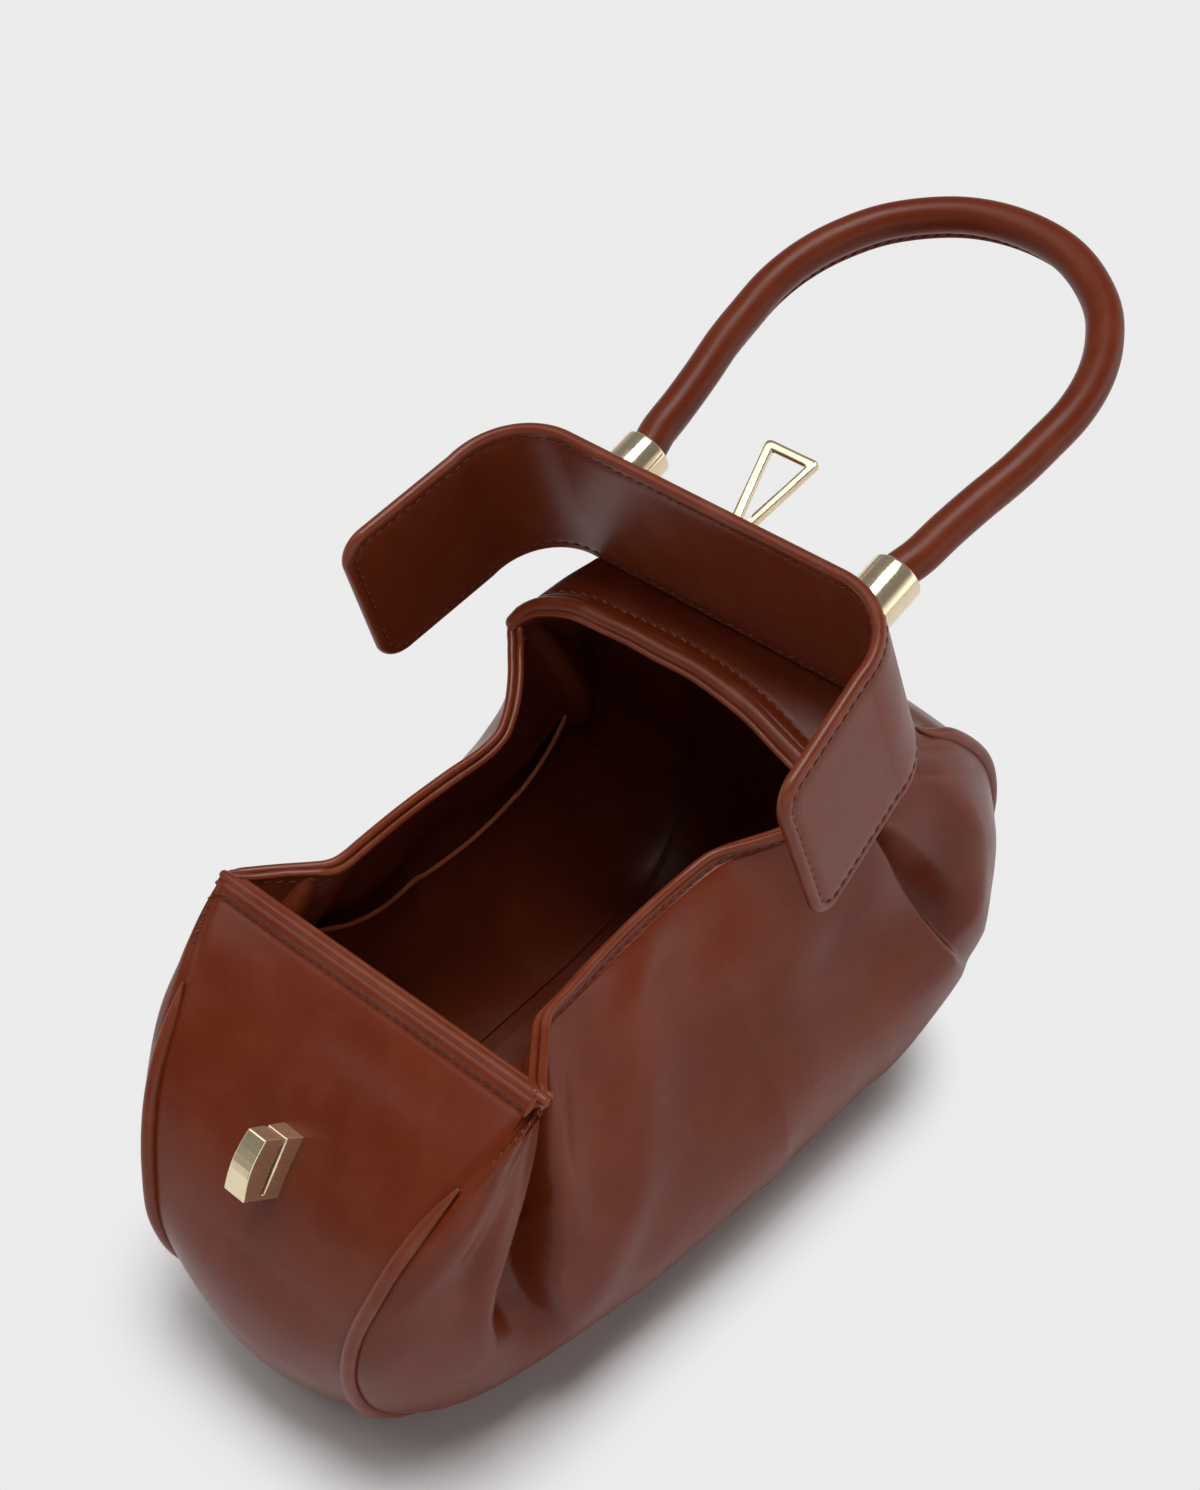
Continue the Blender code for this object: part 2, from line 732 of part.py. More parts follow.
def make_rims(seam, mouth, roll):
    """Rolled bindings round the mouth: front, left and right."""
    corner = mouth[0]
    front_line = corner + np.array([0.0, LEATHER / 2, 0.0])
    inward = wall_inward(seam, mouth)
    inward[0] = inward[1]
    path = (mouth + inward * (LEATHER + GAP + LINING) / 2)[: MOUTH_CORNER_ROWS + 1]
    path = even_steps(path, FINE_STEPS * 4)
    apart = np.linalg.norm((path - front_line)[:, 1:], axis=1)
    first = int(np.argmax(apart > 2 * RIM_ROLL_RADIUS + GAP))
    behind = np.array([distance_to_line(p, roll) for p in path])
    close = np.nonzero(behind < RIM_ROLL_RADIUS + BACK_ROLL_RADIUS + GAP)[0]
    last = int(close[0]) if len(close) else len(path)
    path = even_steps(path[first:last], MOUTH_CORNER_ROWS)
    tube("rim_binding_right", path, RIM_ROLL_RADIUS, leather())
    tube("rim_binding_left", mirrored(path), RIM_ROLL_RADIUS, leather())
    half = corner[0]
    front = [(x, front_line[1], front_line[2]) for x in np.linspace(-half, half, 9)]
    tube("rim_binding_front", front, RIM_ROLL_RADIUS, leather())


def back_roll_path(mouth):
    """The bound roll along the back of the mouth, bowed towards the hinge."""
    corner = rim_path(mouth)[-1]
    path = []
    for t in np.linspace(-1.0, 1.0, 17):
        swell = 1 - abs(t) ** BACK_ROLL_POWER
        path.append((t * corner[0], corner[1] + BACK_ROLL_BOW * swell, corner[2] + BACK_ROLL_RISE * swell))
    return np.array(path)


def make_back_roll(path):
    return tube("rim_binding_back", path, BACK_ROLL_RADIUS, leather())


def make_top_panel(mouth, roll, hinge):
    """The leather between the back roll and the lid's hinge."""
    edge = even_steps(mouth[MOUTH_CORNER_ROWS:], FINE_STEPS)
    near_row = even_steps(roll, TOP_COLUMNS)
    stop = LID_BINDING_RADIUS + 2 * GAP
    end_y = hinge[1] - stop * math.cos(math.radians(TOP_PANEL_MEETS_DEG))
    end_z = hinge[2] - stop * math.sin(math.radians(TOP_PANEL_MEETS_DEG))
    columns = []
    for j, q in enumerate(np.linspace(-1.0, 1.0, TOP_COLUMNS)):
        near = near_row[j]
        share = near[0] / near_row[-1][0]
        column = []
        for k, t in enumerate(np.linspace(0.0, 1.0, FINE_STEPS)):
            x = (share * (1 - t) + q * t) * edge[k][0]
            y = near[1] * (1 - t) + end_y * t
            z = near[2] * (1 - t) + end_z * t
            column.append((x, y, z))
        column = np.array(column)
        low = clear_length(column, roll, BACK_ROLL_RADIUS + 2 * GAP)
        columns.append(even_steps(column, TOP_ROWS, low))
    surface = np.stack(columns, 1)
    normals = grid_normals(surface)
    if normals[TOP_ROWS // 2, TOP_COLUMNS // 2, 2] < 0:
        normals = -normals
    return sheet("top_panel", surface, normals, 0.0, LEATHER, leather())


def make_pocket(surface, normals):
    """A slip pocket that stands a little off the left lining at its open edge."""
    rows = slice(*(round(share * surface.shape[0]) for share in POCKET_ALONG_SHARES))
    columns = slice(*(round(share * surface.shape[1]) for share in POCKET_RISE_SHARES))
    patch = mirrored(surface[rows, columns])
    facing = mirrored(normals[rows, columns])
    count = patch.shape[1]
    close = LEATHER + GAP + LINING + GAP
    depth = np.array([[close + POCKET_SLACK * (j / (count - 1)) ** 2 for j in range(count)]] * patch.shape[0])
    return sheet("slip_pocket", patch, facing, depth, POCKET_LEATHER, dark_leather())


def rounded_outline(half_x, half_y, radius, steps=4):
    """The corner points of a rounded rectangle, going round once."""
    points = []
    for quarter, (sx, sy) in enumerate(((1, 1), (-1, 1), (-1, -1), (1, -1))):
        for step in range(steps + 1):
            angle = math.pi / 2 * (quarter + step / steps)
            x = sx * (half_x - radius) + radius * math.cos(angle)
            y = sy * (half_y - radius) + radius * math.sin(angle)
            points.append((x, y))
    return points


def slab(bm, outline, low, high):
    """Extrude a flat outline from one height to another."""
    verts = [bm.verts.new((x, y, low)) for x, y in outline]
    face = bm.faces.new(verts)
    made = bmesh.ops.extrude_face_region(bm, geom=[face])
    for item in made["geom"]:
        if isinstance(item, bmesh.types.BMVert):
            item.co.z = high


def make_base_board():
    low = LEATHER + GAP
    outline = rounded_outline(BOARD_HALF_WIDTH, BOARD_HALF_LENGTH, BOARD_CORNER)
    data = mesh_from(lambda bm: slab(bm, outline, low, low + BOARD_THICKNESS), "base_board")
    return place("base_board", data, board())


# Catch


def catch_frame(surface, normals):
    """The place and the outward direction of the strip's middle at the catch."""
    middle = STRIP_CELLS // 2
    where = CATCH_SHARE * (WALL_ROWS - 1)
    k = int(where)
    t = where - k
    point = surface[k, middle] * (1 - t) + surface[k + 1, middle] * t
    normal = normals[k, middle] * (1 - t) + normals[k + 1, middle] * t
    normal[0] = 0.0
    normal = normal / np.linalg.norm(normal)
    turn = math.atan2(normal[2], -normal[1])
    return point, normal, turn, k


def catch_body(bm):
    """The post's outline from the side, swept across and tapered: y is out, z is up."""
    half = CATCH_HEIGHT / 2
    steps = 8
    face = []
    for step in range(steps + 1):
        t = step / steps
        z = half - 2 * half * t
        out = CATCH_STANDOFF + CATCH_CROWN * (math.sin(math.pi * t) - CATCH_CROWN_LEAN_SHARE * t)
        face.append((-out, z))
    outline = [(OVERRUN, half)] + face + [(OVERRUN, -half)]
    left = []
    right = []
    for y, z in outline:
        share = min(1.0, max(0.0, -y / CATCH_STANDOFF))
        taper = CATCH_TAPER_LOW_SHARE + (1 - CATCH_TAPER_LOW_SHARE) * z / half
        wide = CATCH_HALF_WIDTH - (CATCH_HALF_WIDTH - CATCH_HALF_TOP) * share * taper
        left.append(bm.verts.new((-wide, y, z)))
        right.append(bm.verts.new((wide, y, z)))
    count = len(outline)
    for k in range(count):
        m = (k + 1) % count
        bm.faces.new((left[k], left[m], right[m], right[k]))
    bm.faces.new(left)
    bm.faces.new(right)


def catch_slot(bm):
    """A narrow slot from the post's top, with a round floor."""
    half = CATCH_HEIGHT / 2
    radius = CATCH_SLOT_WIDTH / 2
    middle = -(CATCH_SLOT_PLACE + radius)
    floor = -half + CATCH_SLOT_FLOOR + radius
    outline = [(middle - radius, half + OVERRUN), (middle - radius, floor)]
    for step in range(1, 6):
        angle = math.pi * (1 + step / 6)
        outline.append((middle + radius * math.cos(angle), floor + radius * math.sin(angle)))
    outline += [(middle + radius, floor), (middle + radius, half + OVERRUN)]
    wide = CATCH_HALF_WIDTH + OVERRUN
    left = [bm.verts.new((-wide, y, z)) for y, z in outline]
    right = [bm.verts.new((wide, y, z)) for y, z in outline]
    for k in range(len(outline)):
        m = (k + 1) % len(outline)
        bm.faces.new((left[k], left[m], right[m], right[k]))
    bm.faces.new(left)
    bm.faces.new(right)


def make_catch(strip, surface, normals):
    point, normal, turn, k = catch_frame(surface, normals)
    frame = empty("catch_frame", point, -turn)
    post = place("catch_post", mesh_from(catch_body, "catch_post"), gold(), frame)
    slot = cutter("catch_slot_cutter", mesh_from(catch_slot, "catch_slot"), frame)
    cut(post, slot)
    bevel(post, CATCH_BEVEL, 2, 50.0)
    rows = slice(max(0, k - 3), k + 5)
    patch = surface[rows, 1:-1]
    facing = normals[rows, 1:-1]
    seat_mesh = mesh_from(lambda bm: skin(bm, patch + facing * GAP, patch - facing * 4 * LEATHER), "catch_seat")
    cut(post, cutter("catch_seat_cutter", seat_mesh))

    def screw_holes(bm):
        for sign in (-1, 1):
            start = (0.0, 4 * LEATHER, sign * CATCH_SCREW_PITCH / 2)
            length = 4 * LEATHER + CATCH_SCREW_REACH + GAP
            cylinder(bm, start, (0, -1, 0), CATCH_SCREW_RADIUS + GAP, length, 12)

    holes = cutter("catch_hole_cutter", mesh_from(screw_holes, "catch_holes"), frame)
    cut(post, holes)
    cut(strip, holes)

    plate_depth = LEATHER + GAP

    def backing(bm):
        outline = rounded_outline(CATCH_PLATE_HALF_WIDTH, CATCH_PLATE_HALF_HEIGHT, CATCH_PLATE_CORNER)
        verts = [bm.verts.new((x, plate_depth + CATCH_PLATE_SETBACK, z)) for x, z in outline]
        made = bmesh.ops.extrude_face_region(bm, geom=[bm.faces.new(verts)])
        for item in made["geom"]:
            if isinstance(item, bmesh.types.BMVert):
                item.co.y += CATCH_PLATE

    plate = place("catch_backing_plate", mesh_from(backing, "catch_backing_plate"), steel(), frame)
    cut(plate, holes)

    seat = plate_depth + CATCH_PLATE_SETBACK + CATCH_PLATE + GAP
    profile = (
        (seat + CATCH_SCREW_HEAD_HEIGHT, 0.0),
        (seat + CATCH_SCREW_HEAD_HEIGHT, CATCH_SCREW_HEAD),
        (seat, CATCH_SCREW_HEAD),
        (seat, CATCH_SCREW_RADIUS),
        (-CATCH_SCREW_REACH, CATCH_SCREW_RADIUS),
        (-CATCH_SCREW_REACH, 0.0),
    )
    for name, sign in (("upper", 1), ("lower", -1)):
        centre = (0.0, 0.0, sign * CATCH_SCREW_PITCH / 2)
        data = mesh_from(lambda bm: turned(bm, profile, centre, "y", 12), "catch_screw")
        place("catch_screw_" + name, data, steel(), frame)


def turned(bm, profile, centre, axis, segments):
    """Turn (height, radius) steps round an axis through centre; the ends lie on the axis."""
    rings = []
    for height, radius in profile:
        ring = []
        for k in range(segments):
            if radius == 0 and k:
                break
            angle = 2 * math.pi * k / segments
            a = radius * math.cos(angle)
            b = radius * math.sin(angle)
            local = (a, height, b) if axis == "y" else (a, b, height)
            ring.append(bm.verts.new(Vector(centre) + Vector(local)))
        rings.append(ring)
    for low, high in zip(rings[:-1], rings[1:]):
        for k in range(segments):
            m = (k + 1) % segments
            corners = []
            for ring, index in ((low, k), (low, m), (high, m), (high, k)):
                vert = ring[index] if len(ring) > 1 else ring[0]
                if vert not in corners:
                    corners.append(vert)
            if len(corners) > 2:
                bm.faces.new(corners)


# Lid, in the frame of its hinge: y is out of the outer face, z up the band


def band_columns(inset):
    """Distances from an arm's end to the band's middle: corner, arm, bend and middle."""
    radius = LID_CORNER_RADIUS - inset
    columns = [inset + radius * (1 - math.cos(math.pi / 2 * k / 3)) for k in range(4)]
    arm = LID_DEPTH - LID_BEND_RADIUS
    columns += list(np.linspace(columns[-1], arm, 5)[1:])
    return columns


def band_plan(depth, level, inset):
    """Plan points from the left arm's end round to the right one, at a depth under the outer face."""
    share = 1.0 - level / LID_HEIGHT
    at_bend = HANDLE_FOOT_HALF + LID_FLAT_ROOM + LID_BEND_RADIUS + LID_FLARE * share
    at_end = at_bend + LID_SPREAD
    out = LID_BINDING_RADIUS
    arm = LID_DEPTH - LID_BEND_RADIUS
    points = []
    for along in band_columns(inset):
        t = along / arm
        x = at_end + (at_bend - at_end) * t - depth
        points.append((x, out - LID_DEPTH + along))
    radius = LID_BEND_RADIUS - depth
    for step in range(1, 9):
        angle = math.pi / 2 * step / 8
        x = at_bend - LID_BEND_RADIUS + radius * math.cos(angle)
        points.append((x, out - LID_BEND_RADIUS + radius * math.sin(angle)))
    flat = at_bend - LID_BEND_RADIUS
    points += [(flat * (1 - k / 3), out - depth) for k in range(1, 3)]
    left = [(-x, y) for x, y in points]
    right = points[::-1]
    return left + [(0.0, out - depth)] + right


def band_levels(inset):
    """The lowest and highest level of each column, with the arms' rounded ends."""
    radius = LID_CORNER_RADIUS - inset
    plain = len(band_plan(0.0, 0.0, inset))
    columns = band_columns(inset)
    low = -LID_BINDING_RADIUS + inset
    high = low + LID_HEIGHT - 2 * inset
    trims = []
    for along in columns:
        reach = along - inset
        trim = radius - math.sqrt(max(0.0, radius**2 - (radius - reach) ** 2)) if reach < radius else 0.0
        trims.append(trim)
    trims += [0.0] * (plain - 2 * len(columns))
    trims += trims[: len(columns)][::-1]
    return [(low + t, high - t) for t in trims]


def band_grid(depth, inset):
    levels = band_levels(inset)
    grid = []
    for k, (low, high) in enumerate(levels):
        column = []
        for z in np.linspace(low, high, LID_ROWS):
            x, y = band_plan(depth, z, inset)[k]
            column.append((x, y, z))
        grid.append(column)
    return np.array(grid)


def band_layer(name, depth, thickness, finish, lid):
    inset = 2 * LID_BINDING_RADIUS + GAP
    outer = band_grid(depth, inset)
    inner = band_grid(depth + thickness, inset)
    return place(name, mesh_from(lambda bm: skin(bm, outer, inner), name), finish, lid)


def make_lid_binding(lid):
    """The rolled edge all round the band; along the back it turns on the hinge axis."""
    inset = LID_BINDING_RADIUS
    depth = LID_BINDING_RADIUS
    levels = band_levels(inset)
    low = []
    high = []
    for k, (bottom, top) in enumerate(levels):
        low.append((*band_plan(depth, bottom, inset)[k], bottom))
        high.append((*band_plan(depth, top, inset)[k], top))
    loop = high + low[::-1]
    return tube("lid_binding", loop, LID_BINDING_RADIUS, leather(), lid, cyclic=True)


def make_lid_layers(lid):
    cover = band_layer("lid_cover", 0.0, LID_COVER, leather(), lid)
    depth = LID_COVER + GAP
    core = band_layer("lid_core", depth, LID_CORE, board(), lid)
    depth += LID_CORE + GAP
    band_layer("lid_lining", depth, LID_LINING, dark_leather(), lid)
    return cover, core


def lid_outer_y():
    return LID_BINDING_RADIUS


def ferrule_profile():
    wall = FERRULE_RADIUS - FERRULE_WALL
    return (
        (GAP, 0.0),
        (GAP, FERRULE_RADIUS - FERRULE_BEVEL),
        (GAP + FERRULE_BEVEL, FERRULE_RADIUS),
        (FERRULE_LENGTH - FERRULE_BEVEL, FERRULE_RADIUS),
        (FERRULE_LENGTH - FERRULE_BEVEL / 3, FERRULE_RADIUS - FERRULE_BEVEL / 3),
        (FERRULE_LENGTH, wall + FERRULE_BEVEL / 4),
        (FERRULE_LENGTH - FERRULE_BEVEL / 2, wall),
        (FERRULE_FLOOR, wall),
        (FERRULE_FLOOR, 0.0),
    )


def make_ferrules(lid, cover, core):
    face = lid_outer_y()
    level = HANDLE_LEVEL - FERRULE_OFFSET
    for name, sign in (("left", -1), ("right", 1)):
        centre = (sign * HANDLE_FOOT_HALF, face, level)
        data = mesh_from(lambda bm: turned(bm, ferrule_profile(), centre, "y", 28), "ferrule")
        ferrule = place("ferrule_" + name, data, gold(), lid)

        def hole(bm):
            start = (centre[0], face - LID_COVER - OVERRUN, level)
            length = LID_COVER + OVERRUN + SCREW_REACH + GAP
            cylinder(bm, start, (0, 1, 0), SCREW_RADIUS + GAP, length, 16)

        def head_room(bm):
            start = (centre[0], face - 2 * LID_BINDING_RADIUS + LID_LINING + GAP / 2, level)
            length = LID_CORE + GAP
            cylinder(bm, start, (0, 1, 0), SCREW_HEAD_RADIUS + GAP, length, 16)

        shank = cutter("screw_hole_" + name, mesh_from(hole, "screw_hole"), lid)
        room = cutter("screw_room_" + name, mesh_from(head_room, "screw_room"), lid)
        cut(ferrule, shank)
        cut(cover, shank)
        cut(core, room)
        head_top = face - LID_COVER - GAP
        profile = (
            (head_top - LID_CORE, 0.0),
            (head_top - LID_CORE, SCREW_HEAD_RADIUS),
            (head_top, SCREW_HEAD_RADIUS),
            (head_top, SCREW_RADIUS),
            (face + SCREW_REACH, SCREW_RADIUS),
            (face + SCREW_REACH, 0.0),
        )
        axis = (centre[0], 0.0, level)
        data = mesh_from(lambda bm: turned(bm, profile, axis, "y", 16), "ferrule_screw")
        place("ferrule_screw_" + name, data, steel(), lid)


def handle_path():
    """The arch in the plane x, y of the lid's frame, from foot to foot."""
    widen = HANDLE_HALF_WIDTH - HANDLE_FOOT_HALF
    mouth = lid_outer_y() + FERRULE_LENGTH
    right = [(HANDLE_FOOT_HALF, mouth - FERRULE_LENGTH + FERRULE_FLOOR + GAP)]
    right += [(HANDLE_FOOT_HALF + widen * w, mouth + HANDLE_HEIGHT * h) for w, h in HANDLE_SHARES]
    right += [(HANDLE_HALF_WIDTH * w, mouth + HANDLE_HEIGHT * h) for w, h in HANDLE_CROWN_SHARES]
    left = [(-x, y) for x, y in right[:-1]]
    points = [(x, y, HANDLE_LEVEL) for x, y in left + right[::-1]]
    return smooth_path(points, HANDLE_STEPS)


def handle_section(radius, proud, half):
    """Section points (across, level): a circle, with a flat seam standing out below it."""
    points = []
    steps = 10
    start = -math.pi / 2 + math.asin(half / radius)
    sweep = 2 * math.pi - 2 * math.asin(half / radius)
    for step in range(steps + 1):
        angle = start + sweep * step / steps
        points.append((radius * math.cos(angle), radius * math.sin(angle)))
    points.append((-half, -radius - proud))
    points.append((half, -radius - proud))
    return points


def sweep_rings(bm, path, sections):
    """Rings of sections carried along a path that lies in the plane x, y."""
    tangents = np.gradient(path, axis=0)
    rings = []
    for point, tangent, section in zip(path, tangents, sections):
        side = np.array([tangent[1], -tangent[0], 0.0])
        side = side / np.linalg.norm(side)
        ring = []
        for across, level in section:
            ring.append(bm.verts.new(Vector(point + side * across + np.array([0.0, 0.0, level]))))
        rings.append(ring)
    return rings


def join_rings(bm, rings):
    for a, b in zip(rings[:-1], rings[1:]):
        for k in range(len(a)):
            m = (k + 1) % len(a)
            bm.faces.new((a[k], b[k], b[m], a[m]))


def make_handle(lid):
    path = handle_path()
    bore = HANDLE_RADIUS - HANDLE_COVER
    along = lengths_along(path)
    inside = FERRULE_LENGTH - FERRULE_FLOOR
    outer_sections = []
    bore_sections = []
    for length in np.minimum(along, along[-1] - along):
        share = float(np.clip((length - inside) / HANDLE_SEAM_RISE, 0.0, 1.0))
        proud = HANDLE_SEAM_TUCKED + (HANDLE_SEAM_PROUD - HANDLE_SEAM_TUCKED) * share
        section = handle_section(HANDLE_RADIUS, proud, HANDLE_SEAM_HALF)
        outer_sections.append(section)
        angles = [math.atan2(level, across) for across, level in section]
        bore_sections.append([(bore * math.cos(a), bore * math.sin(a)) for a in angles])
    count = len(outer_sections[0])

    def cover(bm):
        outer = sweep_rings(bm, path, outer_sections)
        inner = sweep_rings(bm, path, bore_sections)
        join_rings(bm, outer)
        join_rings(bm, inner)
        for end in (0, -1):
            for k in range(count):
                m = (k + 1) % count
                bm.faces.new((outer[end][k], outer[end][m], inner[end][m], inner[end][k]))

    place("handle_cover", mesh_from(cover, "handle_cover"), leather(), lid)
    tube("handle_cord", path, bore - 2 * GAP, cotton(), lid, resolution=1)


# Clasp ring


def make_bracket(lid, cover, core):
    """A plate with two ears on the lid's outer face, and the pin between them."""
    face = lid_outer_y() + GAP
    level = RING_LEVEL
    inner = RING_HALF_TIP + GAP
    outer = inner + EAR_THICKNESS
    pivot = face + RING_STANDOFF

    def body(bm):
        low = face
        plate = rounded_outline(outer, BRACKET_HALF_LENGTH, outer * BRACKET_CORNER_SHARE, 3)
        verts = [bm.verts.new((x, low, level + z)) for x, z in plate]
        base = bm.faces.new(verts)
        made = bmesh.ops.extrude_face_region(bm, geom=[base])
        for item in made["geom"]:
            if isinstance(item, bmesh.types.BMVert):
                item.co.y = low + BRACKET_PLATE

    bracket = place("ring_bracket", mesh_from(body, "ring_bracket"), gold(), lid)

    def ears(bm):
        for sign in (-1, 1):
            outline = [(-EAR_HALF_LENGTH, face + BRACKET_PLATE / 2)]
            for step in range(7):
                angle = math.pi * (1 - step / 6)
                outline.append((EAR_HALF_LENGTH * math.cos(angle), pivot + EAR_HALF_LENGTH * math.sin(angle)))
            outline.append((EAR_HALF_LENGTH, face + BRACKET_PLATE / 2))
            near = [bm.verts.new((sign * inner, y, level + z)) for z, y in outline]
            far = [bm.verts.new((sign * outer, y, level + z)) for z, y in outline]
            for k in range(len(outline)):
                m = (k + 1) % len(outline)
                bm.faces.new((near[k], near[m], far[m], far[k]))
            bm.faces.new(near)
            bm.faces.new(far)

    joined = cutter("ring_ears", mesh_from(ears, "ring_ears"), lid)
    union = bracket.modifiers.new("ears", "BOOLEAN")
    union.operation = "UNION"
    union.object = joined

    def pin_hole(bm):
        start = (-outer - OVERRUN, pivot, level)
        cylinder(bm, start, (1, 0, 0), PIN_RADIUS + GAP / 3, 2 * (outer + OVERRUN), 16)

    cut(bracket, cutter("pin_hole_cutter", mesh_from(pin_hole, "pin_hole"), lid))

    def pin(bm):
        start = (-outer - GAP, pivot, level)
        cylinder(bm, start, (1, 0, 0), PIN_RADIUS, 2 * (outer + GAP), 16)

    place("ring_pin", mesh_from(pin, "ring_pin"), gold(), lid)

    def rivet_holes(bm):
        for sign in (-1, 1):
            start = (0.0, face - 2 * LID_BINDING_RADIUS + LID_LINING, level + sign * RIVET_PLACE)
            length = 2 * LID_BINDING_RADIUS + BRACKET_PLATE + OVERRUN
            cylinder(bm, start, (0, 1, 0), RIVET_RADIUS + GAP / 2, length, 12)

    def head_holes(bm):
        for sign in (-1, 1):
            start = (0.0, lid_outer_y() - 2 * LID_BINDING_RADIUS + LID_LINING + GAP / 2, level + sign * RIVET_PLACE)
            cylinder(bm, start, (0, 1, 0), RIVET_HEAD_RADIUS + GAP, LID_CORE + GAP, 16)

    holes = cutter("rivet_hole_cutter", mesh_from(rivet_holes, "rivet_holes"), lid)
    rooms = cutter("rivet_room_cutter", mesh_from(head_holes, "rivet_rooms"), lid)
    cut(bracket, holes)
    cut(cover, holes)
    cut(core, rooms)

    head_top = lid_outer_y() - LID_COVER - GAP
    profile = (
        (head_top - LID_CORE, 0.0),
        (head_top - LID_CORE, RIVET_HEAD_RADIUS),
        (head_top, RIVET_HEAD_RADIUS),
        (head_top, RIVET_RADIUS),
        (face + BRACKET_PLATE, RIVET_RADIUS),
        (face + BRACKET_PLATE, 0.0),
    )
    for name, sign in (("upper", 1), ("lower", -1)):
        centre = (0.0, 0.0, level + sign * RIVET_PLACE)
        data = mesh_from(lambda bm: turned(bm, profile, centre, "y", 12), "bracket_rivet")
        place("bracket_rivet_" + name, data, steel(), lid)
    return pivot


def trapezoid(half_near, half_far, near, far, radius, steps):
    """A rounded trapezoid outline in the ring's plane, going round once."""
    corners = [(half_far, far), (-half_far, far), (-half_near, near), (half_near, near)]
    points = []
    for k, (x, y) in enumerate(corners):
        before = Vector(corners[k - 1]) - Vector((x, y))
        after = Vector(corners[(k + 1) % 4]) - Vector((x, y))
        angle = before.angle(after)
        limit = min(before.length, after.length) * RING_CORNER_LIMIT_SHARE
        room = min(radius / math.tan(angle / 2), limit)
        start = Vector((x, y)) + before.normalized() * room
        end = Vector((x, y)) + after.normalized() * room
        corner = Vector((x, y))
        for step in range(steps + 1):
            t = step / steps
            points.append(start * (1 - t) ** 2 + corner * 2 * t * (1 - t) + end * t**2)
    return points


def make_ring(ring_frame):
    """A narrow three-sided ring: its tip turns on the pin and its broad bar meets the catch."""
    half = RING_THICKNESS / 2
    steps = 4
    outer = trapezoid(RING_HALF_TIP, RING_HALF_OUTER, RING_EYE_RADIUS, RING_LENGTH, RING_CORNER, steps)
    slope = (RING_HALF_OUTER - RING_HALF_TIP) / (RING_LENGTH - RING_EYE_RADIUS)
    side = RING_BAR * math.sqrt(1 + slope**2)
    inner_far = RING_LENGTH - RING_BAR
    half_inner_far = RING_HALF_OUTER - slope * RING_BAR - side
    half_inner_near = RING_BAR * RING_INNER_TIP_SHARE
    inner_near = RING_LENGTH - (RING_HALF_OUTER - side - half_inner_near) / slope
    inner = trapezoid(half_inner_near, half_inner_far, inner_near, inner_far, RING_CORNER / 3, steps)

    def body(bm):
        loops = []
        for outline in (outer, inner):
            for z in (-half, half):
                loops.append([bm.verts.new((p[0], p[1], z)) for p in outline])
        out_low, out_high, in_low, in_high = loops
        count = len(out_low)
        for k in range(count):
            m = (k + 1) % count
            bm.faces.new((out_low[k], out_low[m], out_high[m], out_high[k]))
            bm.faces.new((in_low[k], in_low[m], in_high[m], in_high[k]))
            bm.faces.new((out_low[k], out_low[m], in_low[m], in_low[k]))
            bm.faces.new((out_high[k], out_high[m], in_high[m], in_high[k]))

    ring = place("clasp_ring", mesh_from(body, "clasp_ring"), gold(), ring_frame)

    def eye(bm):
        start = (-RING_HALF_TIP, 0.0, 0.0)
        cylinder(bm, start, (1, 0, 0), RING_EYE_RADIUS, 2 * RING_HALF_TIP, 20)
        neck = rounded_outline(RING_HALF_TIP, RING_EYE_RADIUS, RING_EYE_RADIUS / 4, 1)
        outline = [(x, y + RING_EYE_RADIUS) for x, y in neck]
        slab(bm, outline, -half * RING_NECK_SHARE, half * RING_NECK_SHARE)

    eye_mesh = mesh_from(eye, "ring_eye")
    union = ring.modifiers.new("eye", "BOOLEAN")
    union.operation = "UNION"
    union.object = cutter("ring_eye_tool", eye_mesh, ring_frame)

    def bore(bm):
        start = (-RING_HALF_TIP - OVERRUN, 0.0, 0.0)
        cylinder(bm, start, (1, 0, 0), PIN_RADIUS + GAP, 2 * (RING_HALF_TIP + OVERRUN), 16)

    cut(ring, cutter("ring_bore_cutter", mesh_from(bore, "ring_bore"), ring_frame))


def build():
    clear_scene()
    seam, mouth = seam_and_mouth()
    hinge = hinge_point()
    strip, strip_grid, strip_normals = make_centre_strip(seam)
    side_grid, side_normals = make_side_panels(seam, mouth)
    make_side_linings(side_grid, side_normals)
    roll = back_roll_path(mouth)
    make_strip_lining(seam, roll)
    make_piping(seam)
    make_rims(seam, mouth, roll)
    make_back_roll(roll)
    make_top_panel(mouth, roll, hinge)
    make_pocket(side_grid, side_normals)
    make_base_board()
    make_catch(strip, strip_grid, strip_normals)

    lid = empty("lid_hinge", hinge, math.radians(LID_TILT_DEG))
    cover, core = make_lid_layers(lid)
    make_lid_binding(lid)
    make_ferrules(lid, cover, core)
    make_handle(lid)
    pivot = make_bracket(lid, cover, core)
    ring_frame = empty("ring_hinge", (0.0, pivot, RING_LEVEL), math.radians(RING_TILT_DEG), lid)
    make_ring(ring_frame)
    bpy.context.view_layer.update()


build()
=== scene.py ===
import math

